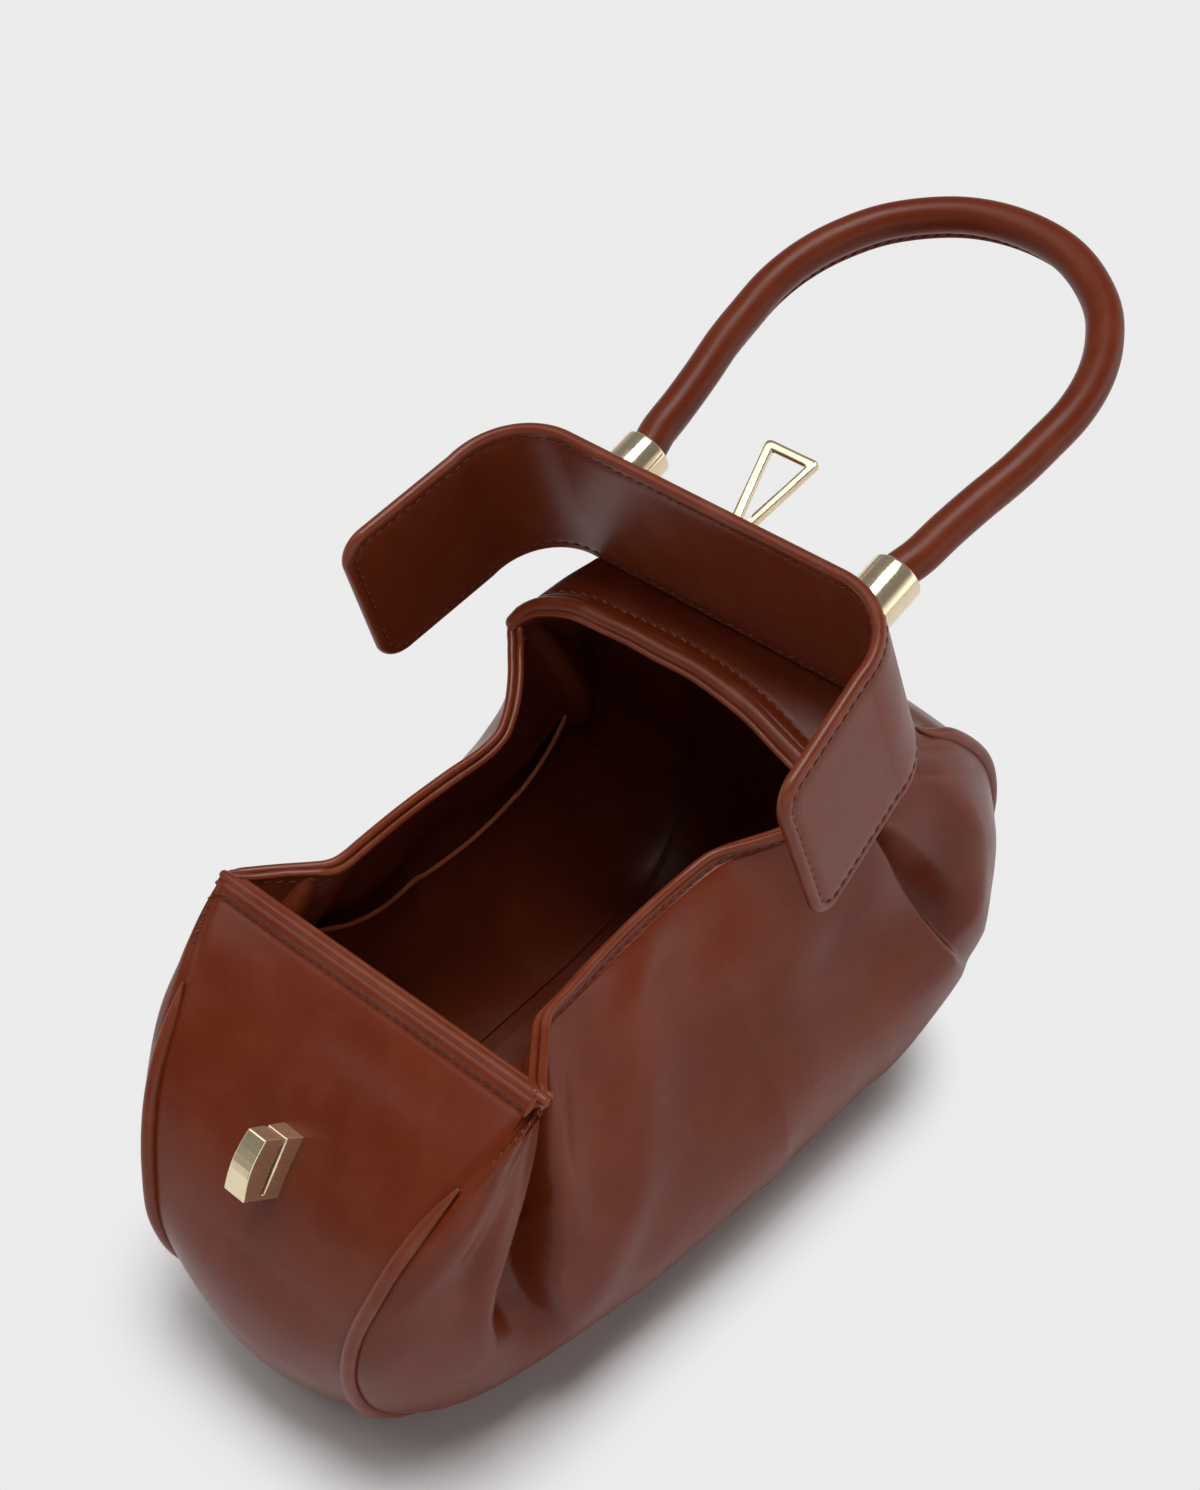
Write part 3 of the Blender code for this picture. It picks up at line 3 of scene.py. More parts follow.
import bmesh
import bpy
import numpy as np
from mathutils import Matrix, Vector


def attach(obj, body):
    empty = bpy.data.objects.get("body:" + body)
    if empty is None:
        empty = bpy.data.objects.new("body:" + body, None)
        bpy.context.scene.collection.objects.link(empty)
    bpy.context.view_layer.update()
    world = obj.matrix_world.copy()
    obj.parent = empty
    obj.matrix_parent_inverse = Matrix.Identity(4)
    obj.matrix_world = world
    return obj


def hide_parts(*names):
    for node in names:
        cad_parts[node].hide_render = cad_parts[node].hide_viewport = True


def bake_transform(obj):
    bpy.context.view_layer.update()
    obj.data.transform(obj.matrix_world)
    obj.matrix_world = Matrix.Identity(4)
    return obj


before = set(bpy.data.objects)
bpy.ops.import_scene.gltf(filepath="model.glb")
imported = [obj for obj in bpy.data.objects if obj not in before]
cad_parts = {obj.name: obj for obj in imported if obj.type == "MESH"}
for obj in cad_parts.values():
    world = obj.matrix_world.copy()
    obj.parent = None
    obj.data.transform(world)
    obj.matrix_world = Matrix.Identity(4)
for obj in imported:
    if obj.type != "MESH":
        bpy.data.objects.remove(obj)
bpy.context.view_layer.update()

MM = 0.001


# Curves and grids

CURVE_CUTS = 48
RIGHT = (1.0, 0.0, 0.0)
UP = (0.0, 0.0, 1.0)


def lengths_along(points):
    steps = np.linalg.norm(np.diff(points, axis=0), axis=1)
    return np.concatenate([[0.0], np.cumsum(steps)])


def grid_lengths(grid, axis):
    """Distances along the lines of a grid that run in the direction of the axis."""
    steps = np.linalg.norm(np.diff(grid, axis=axis), axis=2)
    return np.insert(np.cumsum(steps, axis=axis), 0, 0.0, axis=axis)


def interp_rows(where, places, rows):
    """Each coordinate of the rows, which stand at the given places, read off at where."""
    return np.stack([np.interp(where, places, rows[:, k]) for k in range(rows.shape[1])], -1)


def at_lengths(points, where):
    return interp_rows(where, lengths_along(points), points)


def even_steps(points, count, start=0.0, stop=0.0):
    return at_lengths(points, np.linspace(start, lengths_along(points)[-1] - stop, count))


def smooth_path(points, count):
    """A centripetal Catmull-Rom curve through the points, cut into even steps."""
    points = np.array(points, float)
    points = np.vstack([2 * points[0] - points[1], points, 2 * points[-1] - points[-2]])
    made = []
    for k in range(1, len(points) - 2):
        a, b, c, d = points[k - 1:k + 3]
        t1 = math.sqrt(np.linalg.norm(b - a))
        t2 = t1 + math.sqrt(np.linalg.norm(c - b))
        t3 = t2 + math.sqrt(np.linalg.norm(d - c))
        t = np.linspace(t1, t2, CURVE_CUTS, endpoint=False)[:, None]
        a1 = ((t1 - t) * a + t * b) / t1
        a2 = ((t2 - t) * b + (t - t1) * c) / (t2 - t1)
        a3 = ((t3 - t) * c + (t - t2) * d) / (t3 - t2)
        b1 = ((t2 - t) * a1 + t * a2) / t2
        b2 = ((t3 - t) * a2 + (t - t1) * a3) / (t3 - t1)
        made.append(((t2 - t) * b1 + (t - t1) * b2) / (t2 - t1))
    return even_steps(np.vstack(made + [points[-2][None]]), count)


def ease(low, high, value):
    t = np.clip((np.asarray(value, float) - low) / (high - low), 0.0, 1.0)
    return t * t * (3 - 2 * t)


def table(pairs, where):
    """The second value of the pairs at where, on straight lines between them."""
    places, values = zip(*pairs)
    return np.interp(where, places, values)


def hill(value, middle, wide):
    """A smooth rise to 1 at the middle, with the given half width."""
    return np.exp(-((value - middle) / wide)**2)


def soft_ramp(value, soft):
    """Nothing below zero and the value above it, with a soft bend between."""
    return (np.sqrt(value**2 + soft**2) + value) / 2


def turns(count):
    """Even angles round a circle."""
    return np.linspace(0, 2 * math.pi, count, endpoint=False)


def smooth_table(pairs, where, count):
    """The second value of the pairs at where, read off a smooth curve through them in count steps."""
    curve = smooth_path(pairs, count)
    return np.interp(where, curve[:, 0], curve[:, 1])


def unit(vectors):
    size = np.linalg.norm(vectors, axis=-1, keepdims=True)
    return vectors / np.maximum(size, 1e-12)


def normals_toward(grid, direction):
    """A grid's normals, on the side where the one at its middle points in the direction."""
    normals = unit(np.cross(np.gradient(grid, axis=0), np.gradient(grid, axis=1)))
    middle = normals[grid.shape[0] // 2, grid.shape[1] // 2]
    return normals if np.dot(middle, direction) > 0 else -normals


def mirrored(points):
    return np.asarray(points) * np.array([-1.0, 1.0, 1.0])


# Mesh pieces


def add_mesh(name, verts, faces, materials, node, body, weld=True, sharp=50.0):
    """A piece that rides on a body, takes the given materials and may stand for a CAD node."""
    data = bpy.data.meshes.new(name)
    data.from_pydata([tuple(v) for v in verts], [], [tuple(int(i) for i in f) for f in faces])
    data.update()
    if weld:
        bm = bmesh.new()
        bm.from_mesh(data)
        bmesh.ops.remove_doubles(bm, verts=bm.verts, dist=1e-6)
        bmesh.ops.recalc_face_normals(bm, faces=bm.faces)
        bm.to_mesh(data)
        bm.free()
    item = bpy.data.objects.new(name, data)
    bpy.context.scene.collection.objects.link(item)
    for material in materials:
        data.materials.append(material)
    data.shade_smooth()
    data.set_sharp_from_angle(angle=math.radians(sharp))
    if body:
        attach(item, body)
    if node:
        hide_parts(node)
    return item


def shell(name, outer, inner, material, node=None, body="bag_body"):
    """A closed sheet between two grids of the same shape."""
    rows, columns = outer.shape[:2]
    count = rows * columns
    index = np.arange(count).reshape(rows, columns)
    a, b, c, d = (part.ravel() for part in (index[:-1, :-1], index[1:, :-1], index[1:, 1:], index[:-1, 1:]))
    loop = np.concatenate([index[0, :], index[1:, -1], index[-1, -2::-1], index[-2:0:-1, 0]])
    after = np.roll(loop, -1)
    faces = np.vstack([np.stack([a, b, c, d], -1), np.stack([a, d, c, b], -1) + count,
                       np.stack([loop, after, after + count, loop + count], -1)])
    verts = np.vstack([outer.reshape(-1, 3), inner.reshape(-1, 3)])
    return add_mesh(name, verts, faces, (material,), node, body)


def ring_faces(rows, sides, closed=False):
    """Quads between rings of points, with end caps unless the last ring joins the first."""
    index = np.arange(rows * sides).reshape(rows, sides)
    after = np.roll(index, -1, axis=0)
    quads = np.stack([index, np.roll(index, -1, axis=1), np.roll(after, -1, axis=1), after], -1)
    if closed:
        return list(quads.reshape(-1, 4))
    return list(quads[:-1].reshape(-1, 4)) + [index[0][::-1], index[-1]]


def frames_along(path, closed):
    """Two side directions along a path that turn as little as they can."""
    if closed:
        tangents = unit(np.roll(path, -1, axis=0) - np.roll(path, 1, axis=0))
    else:
        tangents = unit(np.gradient(path, axis=0))
    first = np.array([0.0, 0.0, 1.0])
    if abs(np.dot(first, tangents[0])) > 0.9:
        first = np.array([1.0, 0.0, 0.0])
    side = unit(np.cross(tangents[0], first))
    sides = []
    for t in tangents:
        side = unit(side - t * np.dot(side, t))
        sides.append(side)
    sides = np.array(sides)
    if closed:
        last = unit(sides[-1] - tangents[0] * np.dot(sides[-1], tangents[0]))
        twist = math.atan2(np.dot(last, np.cross(tangents[0], sides[0])), np.dot(last, sides[0]))
        untwist = -twist * np.arange(len(path)) / len(path)
        sides = sides * np.cos(untwist)[:, None] + np.cross(tangents, sides) * np.sin(untwist)[:, None]
    return sides, np.cross(tangents, sides)


def tube(name, path, radius, material, count, node=None, body="bag_body", closed=False):
    """A round bar along a path, with round ends unless it closes on itself."""
    path = np.array(path, float)
    radius = np.broadcast_to(np.asarray(radius, float), (len(path),))
    if not closed:
        tangents = unit(np.gradient(path, axis=0))
        angles = np.array([0.0, 0.35, 0.7, 1.05, 1.4])
        reach = np.cos(angles)[:, None]
        size = np.maximum(np.sin(angles), 0.02)
        heads = path[0] - tangents[0] * radius[0] * reach
        tails = path[-1] + tangents[-1] * radius[-1] * reach[::-1]
        path = np.vstack([heads, path, tails])
        radius = np.concatenate([radius[0] * size, radius, radius[-1] * size[::-1]])
    side, other = frames_along(path, closed)
    angles = turns(count)[None, :, None]
    ring = np.cos(angles) * side[:, None] + np.sin(angles) * other[:, None]
    verts = (path[:, None] + ring * radius[:, None, None]).reshape(-1, 3)
    return add_mesh(name, verts, ring_faces(len(path), count, closed), (material,), node, body)


# A stitch is a six-sided bar; the needle holes at its ends are shallow eight-sided cones in painted shade
STITCH_SINK = 0.12 * MM
HOLE_PLACE = 1.12
HOLE_HALF_LENGTH = 0.30 * MM
HOLE_HALF_WIDTH = 0.24 * MM
HOLE_RIM = 0.03 * MM
HOLE_TIP = 0.05 * MM


def stitch_run(name, points, normals, colour, body="bag_body", pitch=3.6 * MM, length=2.6 * MM,
               radius=0.27 * MM, slant=12.0, lift=0.34 * MM, closed=False):
    """A row of slanted stitches, each bowed between its two holes, along points on a surface."""
    points = np.array(points, float)
    normals = unit(np.array(normals, float))
    if closed:
        points = np.vstack([points, points[:1]])
        normals = np.vstack([normals, normals[:1]])
    along = lengths_along(points)
    count = max(1, int(round(along[-1] / pitch)))
    step = along[-1] / count
    centres = (np.arange(count) + 0.5) * step
    ahead = at_lengths(points, np.minimum(centres + step / 3, along[-1]))
    back = at_lengths(points, np.maximum(centres - step / 3, 0.0))
    facing = unit(interp_rows(centres, along, normals))
    spans = np.linspace(-1, 1, 7)
    angles = turns(6)
    hole_angles = turns(8)
    bar_faces = ring_faces(len(spans), len(angles))
    hole_faces = [np.array((j, (j + 1) % 8, 8)) for j in range(8)]
    verts = []
    faces = []
    marks = []
    rng = np.random.default_rng(7)
    for p, t, n in zip(at_lengths(points, centres), unit(ahead - back), facing):
        t = unit(t - n * np.dot(t, n))
        turn = math.radians(slant + rng.uniform(-3, 3))
        d = t * math.cos(turn) + np.cross(n, t) * math.sin(turn)
        e = np.cross(n, d)
        size = length * rng.uniform(0.94, 1.03)
        faces += [f + len(verts) for f in bar_faces]
        marks += [0] * len(bar_faces)
        for u in spans:
            c = p + d * u * size / 2 + n * (lift * (1 - u * u) - STITCH_SINK)
            r = radius * math.sqrt(max(0.0, 1 - u**6)) + radius * 0.15
            verts += [c + (e * math.cos(a) + n * math.sin(a)) * r for a in angles]
        for u in (-HOLE_PLACE, HOLE_PLACE):
            c = p + d * u * size / 2 + n * HOLE_RIM
            faces += [f + len(verts) for f in hole_faces]
            marks += [1] * len(hole_faces)
            verts += [c + d * HOLE_HALF_LENGTH * math.cos(a) + e * HOLE_HALF_WIDTH * math.sin(a) for a in hole_angles]
            verts.append(c + n * HOLE_TIP)
    item = add_mesh(name, verts, faces, (colour, hole_shade), None, body, weld=False)
    item.data.polygons.foreach_set("material_index", marks)


# Materials


class Nodes:
    """A short way to lay out the node tree of a material or of the world."""

    def __init__(self, owner):
        owner.use_nodes = True
        self.owner = owner
        self.tree = owner.node_tree
        self.shader = self.tree.nodes.get("Principled BSDF")

    def fill(self, node, inputs):
        """Link each named input to an output, or set it to a plain value."""
        for key, value in inputs.items():
            socket = node.inputs[key]
            if isinstance(value, bpy.types.NodeSocket):
                self.tree.links.new(value, socket)
            else:
                socket.default_value = (*value, 1.0) if socket.type == "RGBA" else value

    def add(self, kind, inputs=None, **settings):
        node = self.tree.nodes.new(kind)
        for key, value in settings.items():
            setattr(node, key, value)
        self.fill(node, inputs or {})
        return node

    def coords(self):
        return self.add("ShaderNodeTexCoord").outputs["Object"]

    def noise(self, coords, scale, detail=3.0, rough=0.55):
        inputs = {"Vector": coords, "Scale": scale, "Detail": detail, "Roughness": rough}
        return self.add("ShaderNodeTexNoise", inputs).outputs["Fac"]

    def cells(self, coords, scale):
        """Distance to the edges of fine cells."""
        inputs = {"Vector": coords, "Scale": scale}
        return self.add("ShaderNodeTexVoronoi", inputs, feature="DISTANCE_TO_EDGE").outputs["Distance"]

    def span(self, value, low, high, to_low=0.0, to_high=1.0):
        inputs = {"Value": value, "From Min": low, "From Max": high, "To Min": to_low, "To Max": to_high}
        return self.add("ShaderNodeMapRange", inputs, interpolation_type="SMOOTHSTEP").outputs["Result"]

    def math(self, operation, *values):
        return self.add("ShaderNodeMath", dict(enumerate(values)), operation=operation).outputs["Value"]

    def vector(self, operation, *values):
        return self.add("ShaderNodeVectorMath", dict(enumerate(values)), operation=operation).outputs["Vector"]

    def mix(self, factor, a, b):
        return self.add("ShaderNodeMix", {"Factor": factor, "A": a, "B": b}, data_type="RGBA").outputs["Result"]

    def bump(self, height, strength, distance, **more):
        inputs = {"Height": height, "Strength": strength, "Distance": distance, **more}
        return self.add("ShaderNodeBump", inputs).outputs["Normal"]


PORE_SCALE = 1700.0
CREASE_SCALE = 900.0
GRAIN_STRENGTH = 0.14


def leather(name, colour, deep, worn, rough=0.30, coat=0.06, wear=0.0, shine=0.26):
    """Smooth calf: fine pores, soft mottling, a light polish and paler worn edges."""
    n = Nodes(bpy.data.materials.new(name))
    coords = n.coords()
    broad = n.noise(coords, 14.0, 3.0)
    cloud = n.noise(coords, 75.0, 4.0)
    fine = n.noise(coords, 1500.0, 2.0)
    pores = n.cells(coords, PORE_SCALE)
    creases = n.cells(coords, CREASE_SCALE)
    tone = n.mix(n.span(broad, 0.3, 0.7), colour, deep)
    tone = n.mix(n.math("MULTIPLY", n.span(cloud, 0.42, 0.75), 0.35), tone, worn)
    pits = n.span(pores, 0.0, 0.09, 1.0, 0.0)
    tone = n.mix(n.math("MULTIPLY", pits, 0.34), tone, tuple(c * 0.45 for c in deep))
    if wear:
        edge = n.add("ShaderNodeNewGeometry").outputs["Pointiness"]
        rubbed = n.math("MULTIPLY", n.span(edge, 0.515, 0.60), n.span(cloud, 0.30, 0.62, 0.35, 1.0))
        tone = n.mix(n.math("MULTIPLY", rubbed, wear), tone, worn)
    gloss = n.math("ADD", n.span(cloud, 0.3, 0.7, rough - 0.04, rough + 0.05), n.math("MULTIPLY", pits, 0.08))
    height = n.math("ADD", n.math("MULTIPLY", n.span(pores, 0.0, 0.16), 0.6), n.math("MULTIPLY", fine, 0.35))
    height = n.math("ADD", height, n.math("MULTIPLY", n.span(creases, 0.0, 0.10), 0.35))
    n.fill(n.shader, {"Base Color": tone, "Roughness": gloss, "Normal": n.bump(height, GRAIN_STRENGTH, 0.00012),
                      "Coat Weight": coat, "Coat Roughness": 0.20, "Specular IOR Level": shine})
    return n.owner


def thread(name, colour, deep):
    """Waxed thread with a fine twist."""
    n = Nodes(bpy.data.materials.new(name))
    coords = n.coords()
    twist = n.add("ShaderNodeTexWave", {"Vector": coords, "Scale": 900.0, "Distortion": 1.5}, wave_type="BANDS",
                  bands_direction="DIAGONAL").outputs["Fac"]
    n.fill(n.shader, {"Base Color": n.mix(twist, deep, colour), "Normal": n.bump(twist, 0.5, 0.0001),
                      "Roughness": n.span(n.noise(coords, 400.0), 0.3, 0.7, 0.5, 0.65)})
    return n.owner


def plated(name, colour, warm, rough, metallic=1.0):
    """Polished plating: nearly mirror bright, with faint hand-polish haze and fine scratches."""
    n = Nodes(bpy.data.materials.new(name))
    coords = n.coords()
    haze = n.noise(coords, 180.0, 3.0)
    lines = n.add("ShaderNodeMapping", {"Vector": coords, "Scale": (1.0, 14.0, 1.0)}).outputs["Vector"]
    scratch = n.noise(lines, 700.0, 2.0, 0.7)
    rounding = n.add("ShaderNodeBevel", {"Radius": 0.35 * MM}, samples=8).outputs["Normal"]
    gloss = n.math("ADD", n.span(haze, 0.35, 0.7, rough, rough + 0.06), n.math("MULTIPLY", scratch, 0.03))
    n.fill(n.shader, {"Base Color": n.mix(n.span(haze, 0.3, 0.7), colour, warm), "Metallic": metallic,
                      "Roughness": gloss, "Normal": n.bump(scratch, 0.03, 0.00003, Normal=rounding)})
    return n.owner


def fibre(name, colour, deep, scale, rough=0.85, bump=0.4):
    """Matt strands, for board, cord and the painted shade of a needle hole."""
    n = Nodes(bpy.data.materials.new(name))
    strands = n.noise(n.coords(), scale, 5.0, 0.7)
    n.fill(n.shader, {"Base Color": n.mix(strands, deep, colour), "Normal": n.bump(strands, bump, 0.0002),
                      "Roughness": n.span(strands, 0.2, 0.8, rough - 0.08, rough + 0.05)})
    return n.owner


CALF = (0.164, 0.0240, 0.0050)
CALF_DEEP = (0.133, 0.0180, 0.0038)
CALF_WORN = (0.215, 0.044, 0.015)
body_leather = leather("calf_leather", CALF, CALF_DEEP, CALF_WORN)
edge_leather = leather("calf_rolled_edge", (0.180, 0.033, 0.011), CALF, (0.28, 0.085, 0.045), rough=0.32, coat=0.12,
                       wear=0.5)
lining_leather = leather("calf_lining", (0.200, 0.036, 0.012), (0.165, 0.027, 0.009), (0.25, 0.060, 0.025),
                         rough=0.34, coat=0.14)
# The pocket's edge bead is painted several times paler than the lining: a painted highlight along the real bead.
pocket_bead_painted_highlight = leather("calf_pocket_edge_painted_highlight", (0.66, 0.19, 0.085), (0.55, 0.145, 0.060), (0.76, 0.28, 0.15),
                         rough=0.30, coat=0.30)
lid_leather = leather("calf_lid", (0.160, 0.0255, 0.007), CALF, CALF_WORN, rough=0.36)
handle_leather = leather("calf_handle", (0.160, 0.027, 0.008), CALF_DEEP, CALF_WORN, rough=0.34, coat=0.03,
                         shine=0.20)
stitch_thread = thread("waxed_thread", (0.190, 0.038, 0.014), (0.105, 0.019, 0.007))
# Dark colour for the needle-hole cones: painted shade.
hole_shade = fibre("needle_hole_painted_shade", (0.070, 0.013, 0.006), (0.038, 0.007, 0.004), 900.0, 0.8, 0.2)
# A darker copy of the thread for the rim and front stitches: its colour is painted shade from the stitch holes.
rim_thread_painted_shade = thread("waxed_thread_painted_shade", (0.100, 0.017, 0.006), (0.050, 0.009, 0.004))
# A paler copy of the thread for the back stitches: its colour is a painted highlight.
back_thread_painted_highlight = thread("waxed_thread_painted_highlight", (0.330, 0.090, 0.038), (0.200, 0.048, 0.018))
gold = plated("pale_gold_plating", (0.95, 0.81, 0.57), (0.92, 0.75, 0.49), 0.11, 0.84)
steel = plated("zinc_plated_steel", (0.62, 0.62, 0.63), (0.52, 0.52, 0.53), 0.28)
board = fibre("pressed_fibre_board", (0.42, 0.33, 0.24), (0.28, 0.21, 0.15), 700.0)
cotton = fibre("cotton_cord", (0.68, 0.62, 0.52), (0.50, 0.45, 0.37), 1200.0)

CAD_FINISHES = (
    (steel, ("catch_backing_plate", "catch_screw_upper", "catch_screw_lower", "ferrule_screw_left",
             "ferrule_screw_right")),
    (gold, ("bracket_rivet_upper", "bracket_rivet_lower", "ring_bracket", "ring_pin", "clasp_ring", "catch_post",
            "ferrule_left", "ferrule_right")),
    (board, ("base_board", "lid_core")),
    (cotton, ("handle_cord",)),
)
for finish, node_names in CAD_FINISHES:
    for node_name in node_names:
        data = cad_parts[node_name].data
        data.materials.clear()
        data.materials.append(finish)


# Body surface, from the same named sizes as the solids

RIM_HALF_WIDTH = 60.0 * MM
BODY_REACH = 250.0 * MM
BODY_HEIGHT = 129.0 * MM
BASE_CENTRE = 0.27
LEATHER_THICK = 1.2 * MM
LINING_THICK = 0.9 * MM
LINING_DEPTH = 2.0 * MM
PIPING_RADIUS = 2.2 * MM
BEAD_RADIUS = 1.3 * MM
SIDE_BULGE = 39.0 * MM
STRIP_BOW = 6.0 * MM
HINGE_STAND = 2.15 * MM
RIM_STITCH = 3.1 * MM
FRONT_STITCH = 4.6 * MM
BACK_STITCH = 5.6 * MM
LOWEST = 0.15 * MM
SEAM_SHARES = (
    (1, 0, 1), (.93, -.052, .925), (.849, -.1, .845), (.773, -.157, .727),
    (.724, -.185, .632), (.667, -.206, .519), (.635, -.213, .384), (.618, -.186, .215),
    (.615, -.104, .062), (.62, .048, .02), (.64, .264, .02), (.68, .48, .02),
    (.74, .655, .079), (.805, .749, .25), (.9, .783, .47), (.982, .788, .69),
    (1, .757, .895), (.965, .69, 1.048), (.928, .645, 1.104), (.83, .575, 1.258),
)
REAR_SHARES = ((.99, .461, 1.149), (.92, .516, 1.205), (.83, .559, 1.253))
MOUTH_SHARES = {
    "right": (
        (1, 0, 1), (.921, .014, .998), (.832, .038, .994), (.743, .064, .993),
        (.688, .08, .993), (.66, .092, .994), (.65, .104, .995), (.641, .128, .997),
        (.616, .177, 1.003), (.598, .234, 1.012), (.597, .302, 1.024), (.611, .34, 1.036),
        (.626, .356, 1.043), (.652, .367, 1.049), (.703, .381, 1.058), (.819, .41, 1.084),
        (.92, .438, 1.118),
    ) + REAR_SHARES,
    "left": (
        (1, 0, 1), (.93, .022, .997), (.84, .05, .994), (.74, .077, .993),
        (.7, .088, .994), (.681, .098, .995), (.676, .112, .996), (.682, .135, .998),
        (.69, .201, 1.006), (.676, .27, 1.018), (.657, .315, 1.027), (.655, .338, 1.035),
        (.666, .355, 1.043), (.69, .368, 1.051), (.742, .389, 1.065), (.828, .416, 1.09),
        (.925, .441, 1.12),
    ) + REAR_SHARES,
}
BULGE = ((0, 0), (.06, .18), (.12, .3), (.25, .62), (.5, 1), (.62, .92), (.74, .72), (.81, .45), (.88, .17),
         (1, 0))
BOW = ((0, 0), (.1, -.5), (.16, 0), (.21, 1.1), (.26, 1.9), (.3, 1.8), (.4, 1), (.65, 1), (.8, .8),
       (.93, .8), (1, 0))
ROWS = 421
CORNER_PLACE = 23 / 28
CORNER_ROW = int(round(CORNER_PLACE * (ROWS - 1)))
PLACES = np.linspace(0.0, 1.0, ROWS)


def body_point(shares):
    across, along, up = shares
    return np.array([across * RIM_HALF_WIDTH, (along - BASE_CENTRE) * BODY_REACH, up * BODY_HEIGHT])


def mouth_line(shares):
    whole = smooth_path([body_point(s) for s in shares], 4000)
    split = int(np.argmin(np.linalg.norm(whole - body_point(REAR_SHARES[0]), axis=1)))
    front = even_steps(whole[:split + 1], CORNER_ROW + 1)
    return np.vstack([front, even_steps(whole[split:], ROWS - CORNER_ROW)[1:]])


seam = smooth_path([body_point(s) for s in SEAM_SHARES], ROWS)
seam[:, 2] = np.maximum(seam[:, 2], PIPING_RADIUS + 0.3 * MM)
mouths = {side_name: mouth_line(shares) for side_name, shares in MOUTH_SHARES.items()}
mouth = mouths["right"]
hinge = np.array([0.0, (seam[-1][1] + mouth[-1][1]) / 2, seam[-1][2] + HINGE_STAND])

# The room for the closed lid's arms: the level of their lower ends and how wide the wall may be beside them
ARM_LEVEL = 91.0 * MM
ARM_HALF_WIDTH = 64.3 * MM
ARM_BACK = (REAR_SHARES[2][1] - BASE_CENTRE) * BODY_REACH + 13.0 * MM
ARM_SOFT = 9.0 * MM


def arm_room(points):
    """Draw the wall in where the closed lid's arms hang beside it."""
    made = points.copy()
    x, y, z = made[..., 0], made[..., 1], made[..., 2]
    limit = ARM_HALF_WIDTH + soft_ramp(ARM_LEVEL - z, 9.0 * MM) * 0.75 + soft_ramp(y - ARM_BACK, 7.0 * MM) * 1.1
    over = x - limit
    bent = x - (over + ARM_SOFT)**2 / (4 * ARM_SOFT)
    made[..., 0] = np.where(over < -ARM_SOFT, x, np.where(over > ARM_SOFT, limit, bent))
    return made


COLUMNS = 132
RIM_COLUMNS = 21
RIM_REACH = 7.0 * MM


def side_base(rim):
    """A right wall before its folds: rows along the seam, columns from the seam to the mouth."""
    q = np.linspace(0.0, 1.0, 161)
    bulge = SIDE_BULGE * table(BULGE, PLACES)
    grid = seam[:, None] + (rim - seam)[:, None] * q[None, :, None]
    wave = np.where((q > 0) & (q < 1), np.abs(np.sin(math.pi * q**0.75)), 0.0)
    power = 0.8 + 0.5 * ease(0.76, 0.86, PLACES)
    grid[..., 0] += bulge[:, None] * wave[None] ** power[:, None]
    grid[..., 2] = np.maximum(grid[..., 2], 0.0)
    rows = []
    shares = []
    for row in arm_room(grid):
        along = lengths_along(row)
        near = np.linspace(0.0, 1.0, RIM_COLUMNS + 1)[:-1] * min(RIM_REACH, along[-1] * 0.35)
        far = along[-1] - near[::-1]
        middle = np.linspace(near[-1], far[0], COLUMNS - 2 * RIM_COLUMNS + 2)[1:-1]
        where = np.concatenate([near, middle, far])
        rows.append(interp_rows(where, along, row))
        shares.append(np.interp(where, along, q))
    return np.array(rows), np.array(shares)


# Each pleat: its crest, its far side, its depth in mm and how far its crest leans, by the share of height
FRONT_FOLD = {
    "crest": ((.1, .318), (.16, .3), (.25, .262), (.338, .232), (.4, .22), (.5, .212),
              (.625, .205), (.725, .202), (.82, .193), (1, .166)),
    "far": ((.1, .345), (.15, .343), (.22, .33), (.3, .311), (.36, .294), (.413, .281),
            (.513, .27), (.6, .255), (.69, .232), (.82, .21), (1, .176)),
    "depth": ((.12, 0), (.17, .8), (.22, 2.8), (.28, 6.6), (.34, 10.8), (.44, 14), (.6, 13.5),
              (.72, 11), (.8, 8.5), (.88, 5), (.95, 1.8), (1, 0)),
    "lean": .24, "lobe": .2, "drop": 5, "rise": 6.5, "ridge": .14,
}
BACK_FOLD = {
    "crest": ((.15, .7), (.238, .704), (.35, .708), (.43, .714), (.5, .724), (.65, .75),
              (.825, .789), (1, .815)),
    "far": ((.15, .735), (.238, .745), (.325, .756), (.42, .77), (.5, .782), (.65, .8),
            (.825, .818), (1, .832)),
    "depth": ((.12, 0), (.2, 1), (.3, 2.8), (.4, 4.6), (.52, 6.2), (.65, 6.6), (.76, 5.4),
              (.86, 3), (.95, 0), (1, 0)),
    "lean": .32, "lobe": .14, "drop": 2.6, "rise": 19, "ridge": .22,
}


def fold_offsets(along, q, fold, amount):
    """A pleat on one column, in mm: a full lobe whose crest leans over a deep valley, then a soft ridge."""
    crest = np.interp(table(fold["crest"], q), PLACES, along)
    deep = table(fold["depth"], q) * amount
    tip = fold["lean"] * deep * ease(0.16, 0.40, q)
    high = fold["lobe"] * deep
    before = tip * 0.85 + high * 0.6
    c = along - crest + before
    whole = np.interp(table(fold["far"], q), PLACES, along) - crest + before
    drop = min(fold["drop"] * (1 + 2.4 * (1 - ease(0.22, 0.44, q))), 0.60 * whole)
    rise = fold["rise"] * (1 + 1.0 * (1 - ease(0.22, 0.36, q)))
    valley = ease(-0.8, drop, c) * (1 - ease(max(whole - rise, 0.16 * whole), whole + 0.8, c))
    lobe = high * hill(c, -4.0, 8.0) * (1 - ease(-1.5, 3.2, c))
    ridge = fold["ridge"] * deep * hill(c, whole * 1.30, whole * 0.35 + 2.0)
    return lobe + ridge - deep * valley, tip * hill(c, 0.2, 3.2)


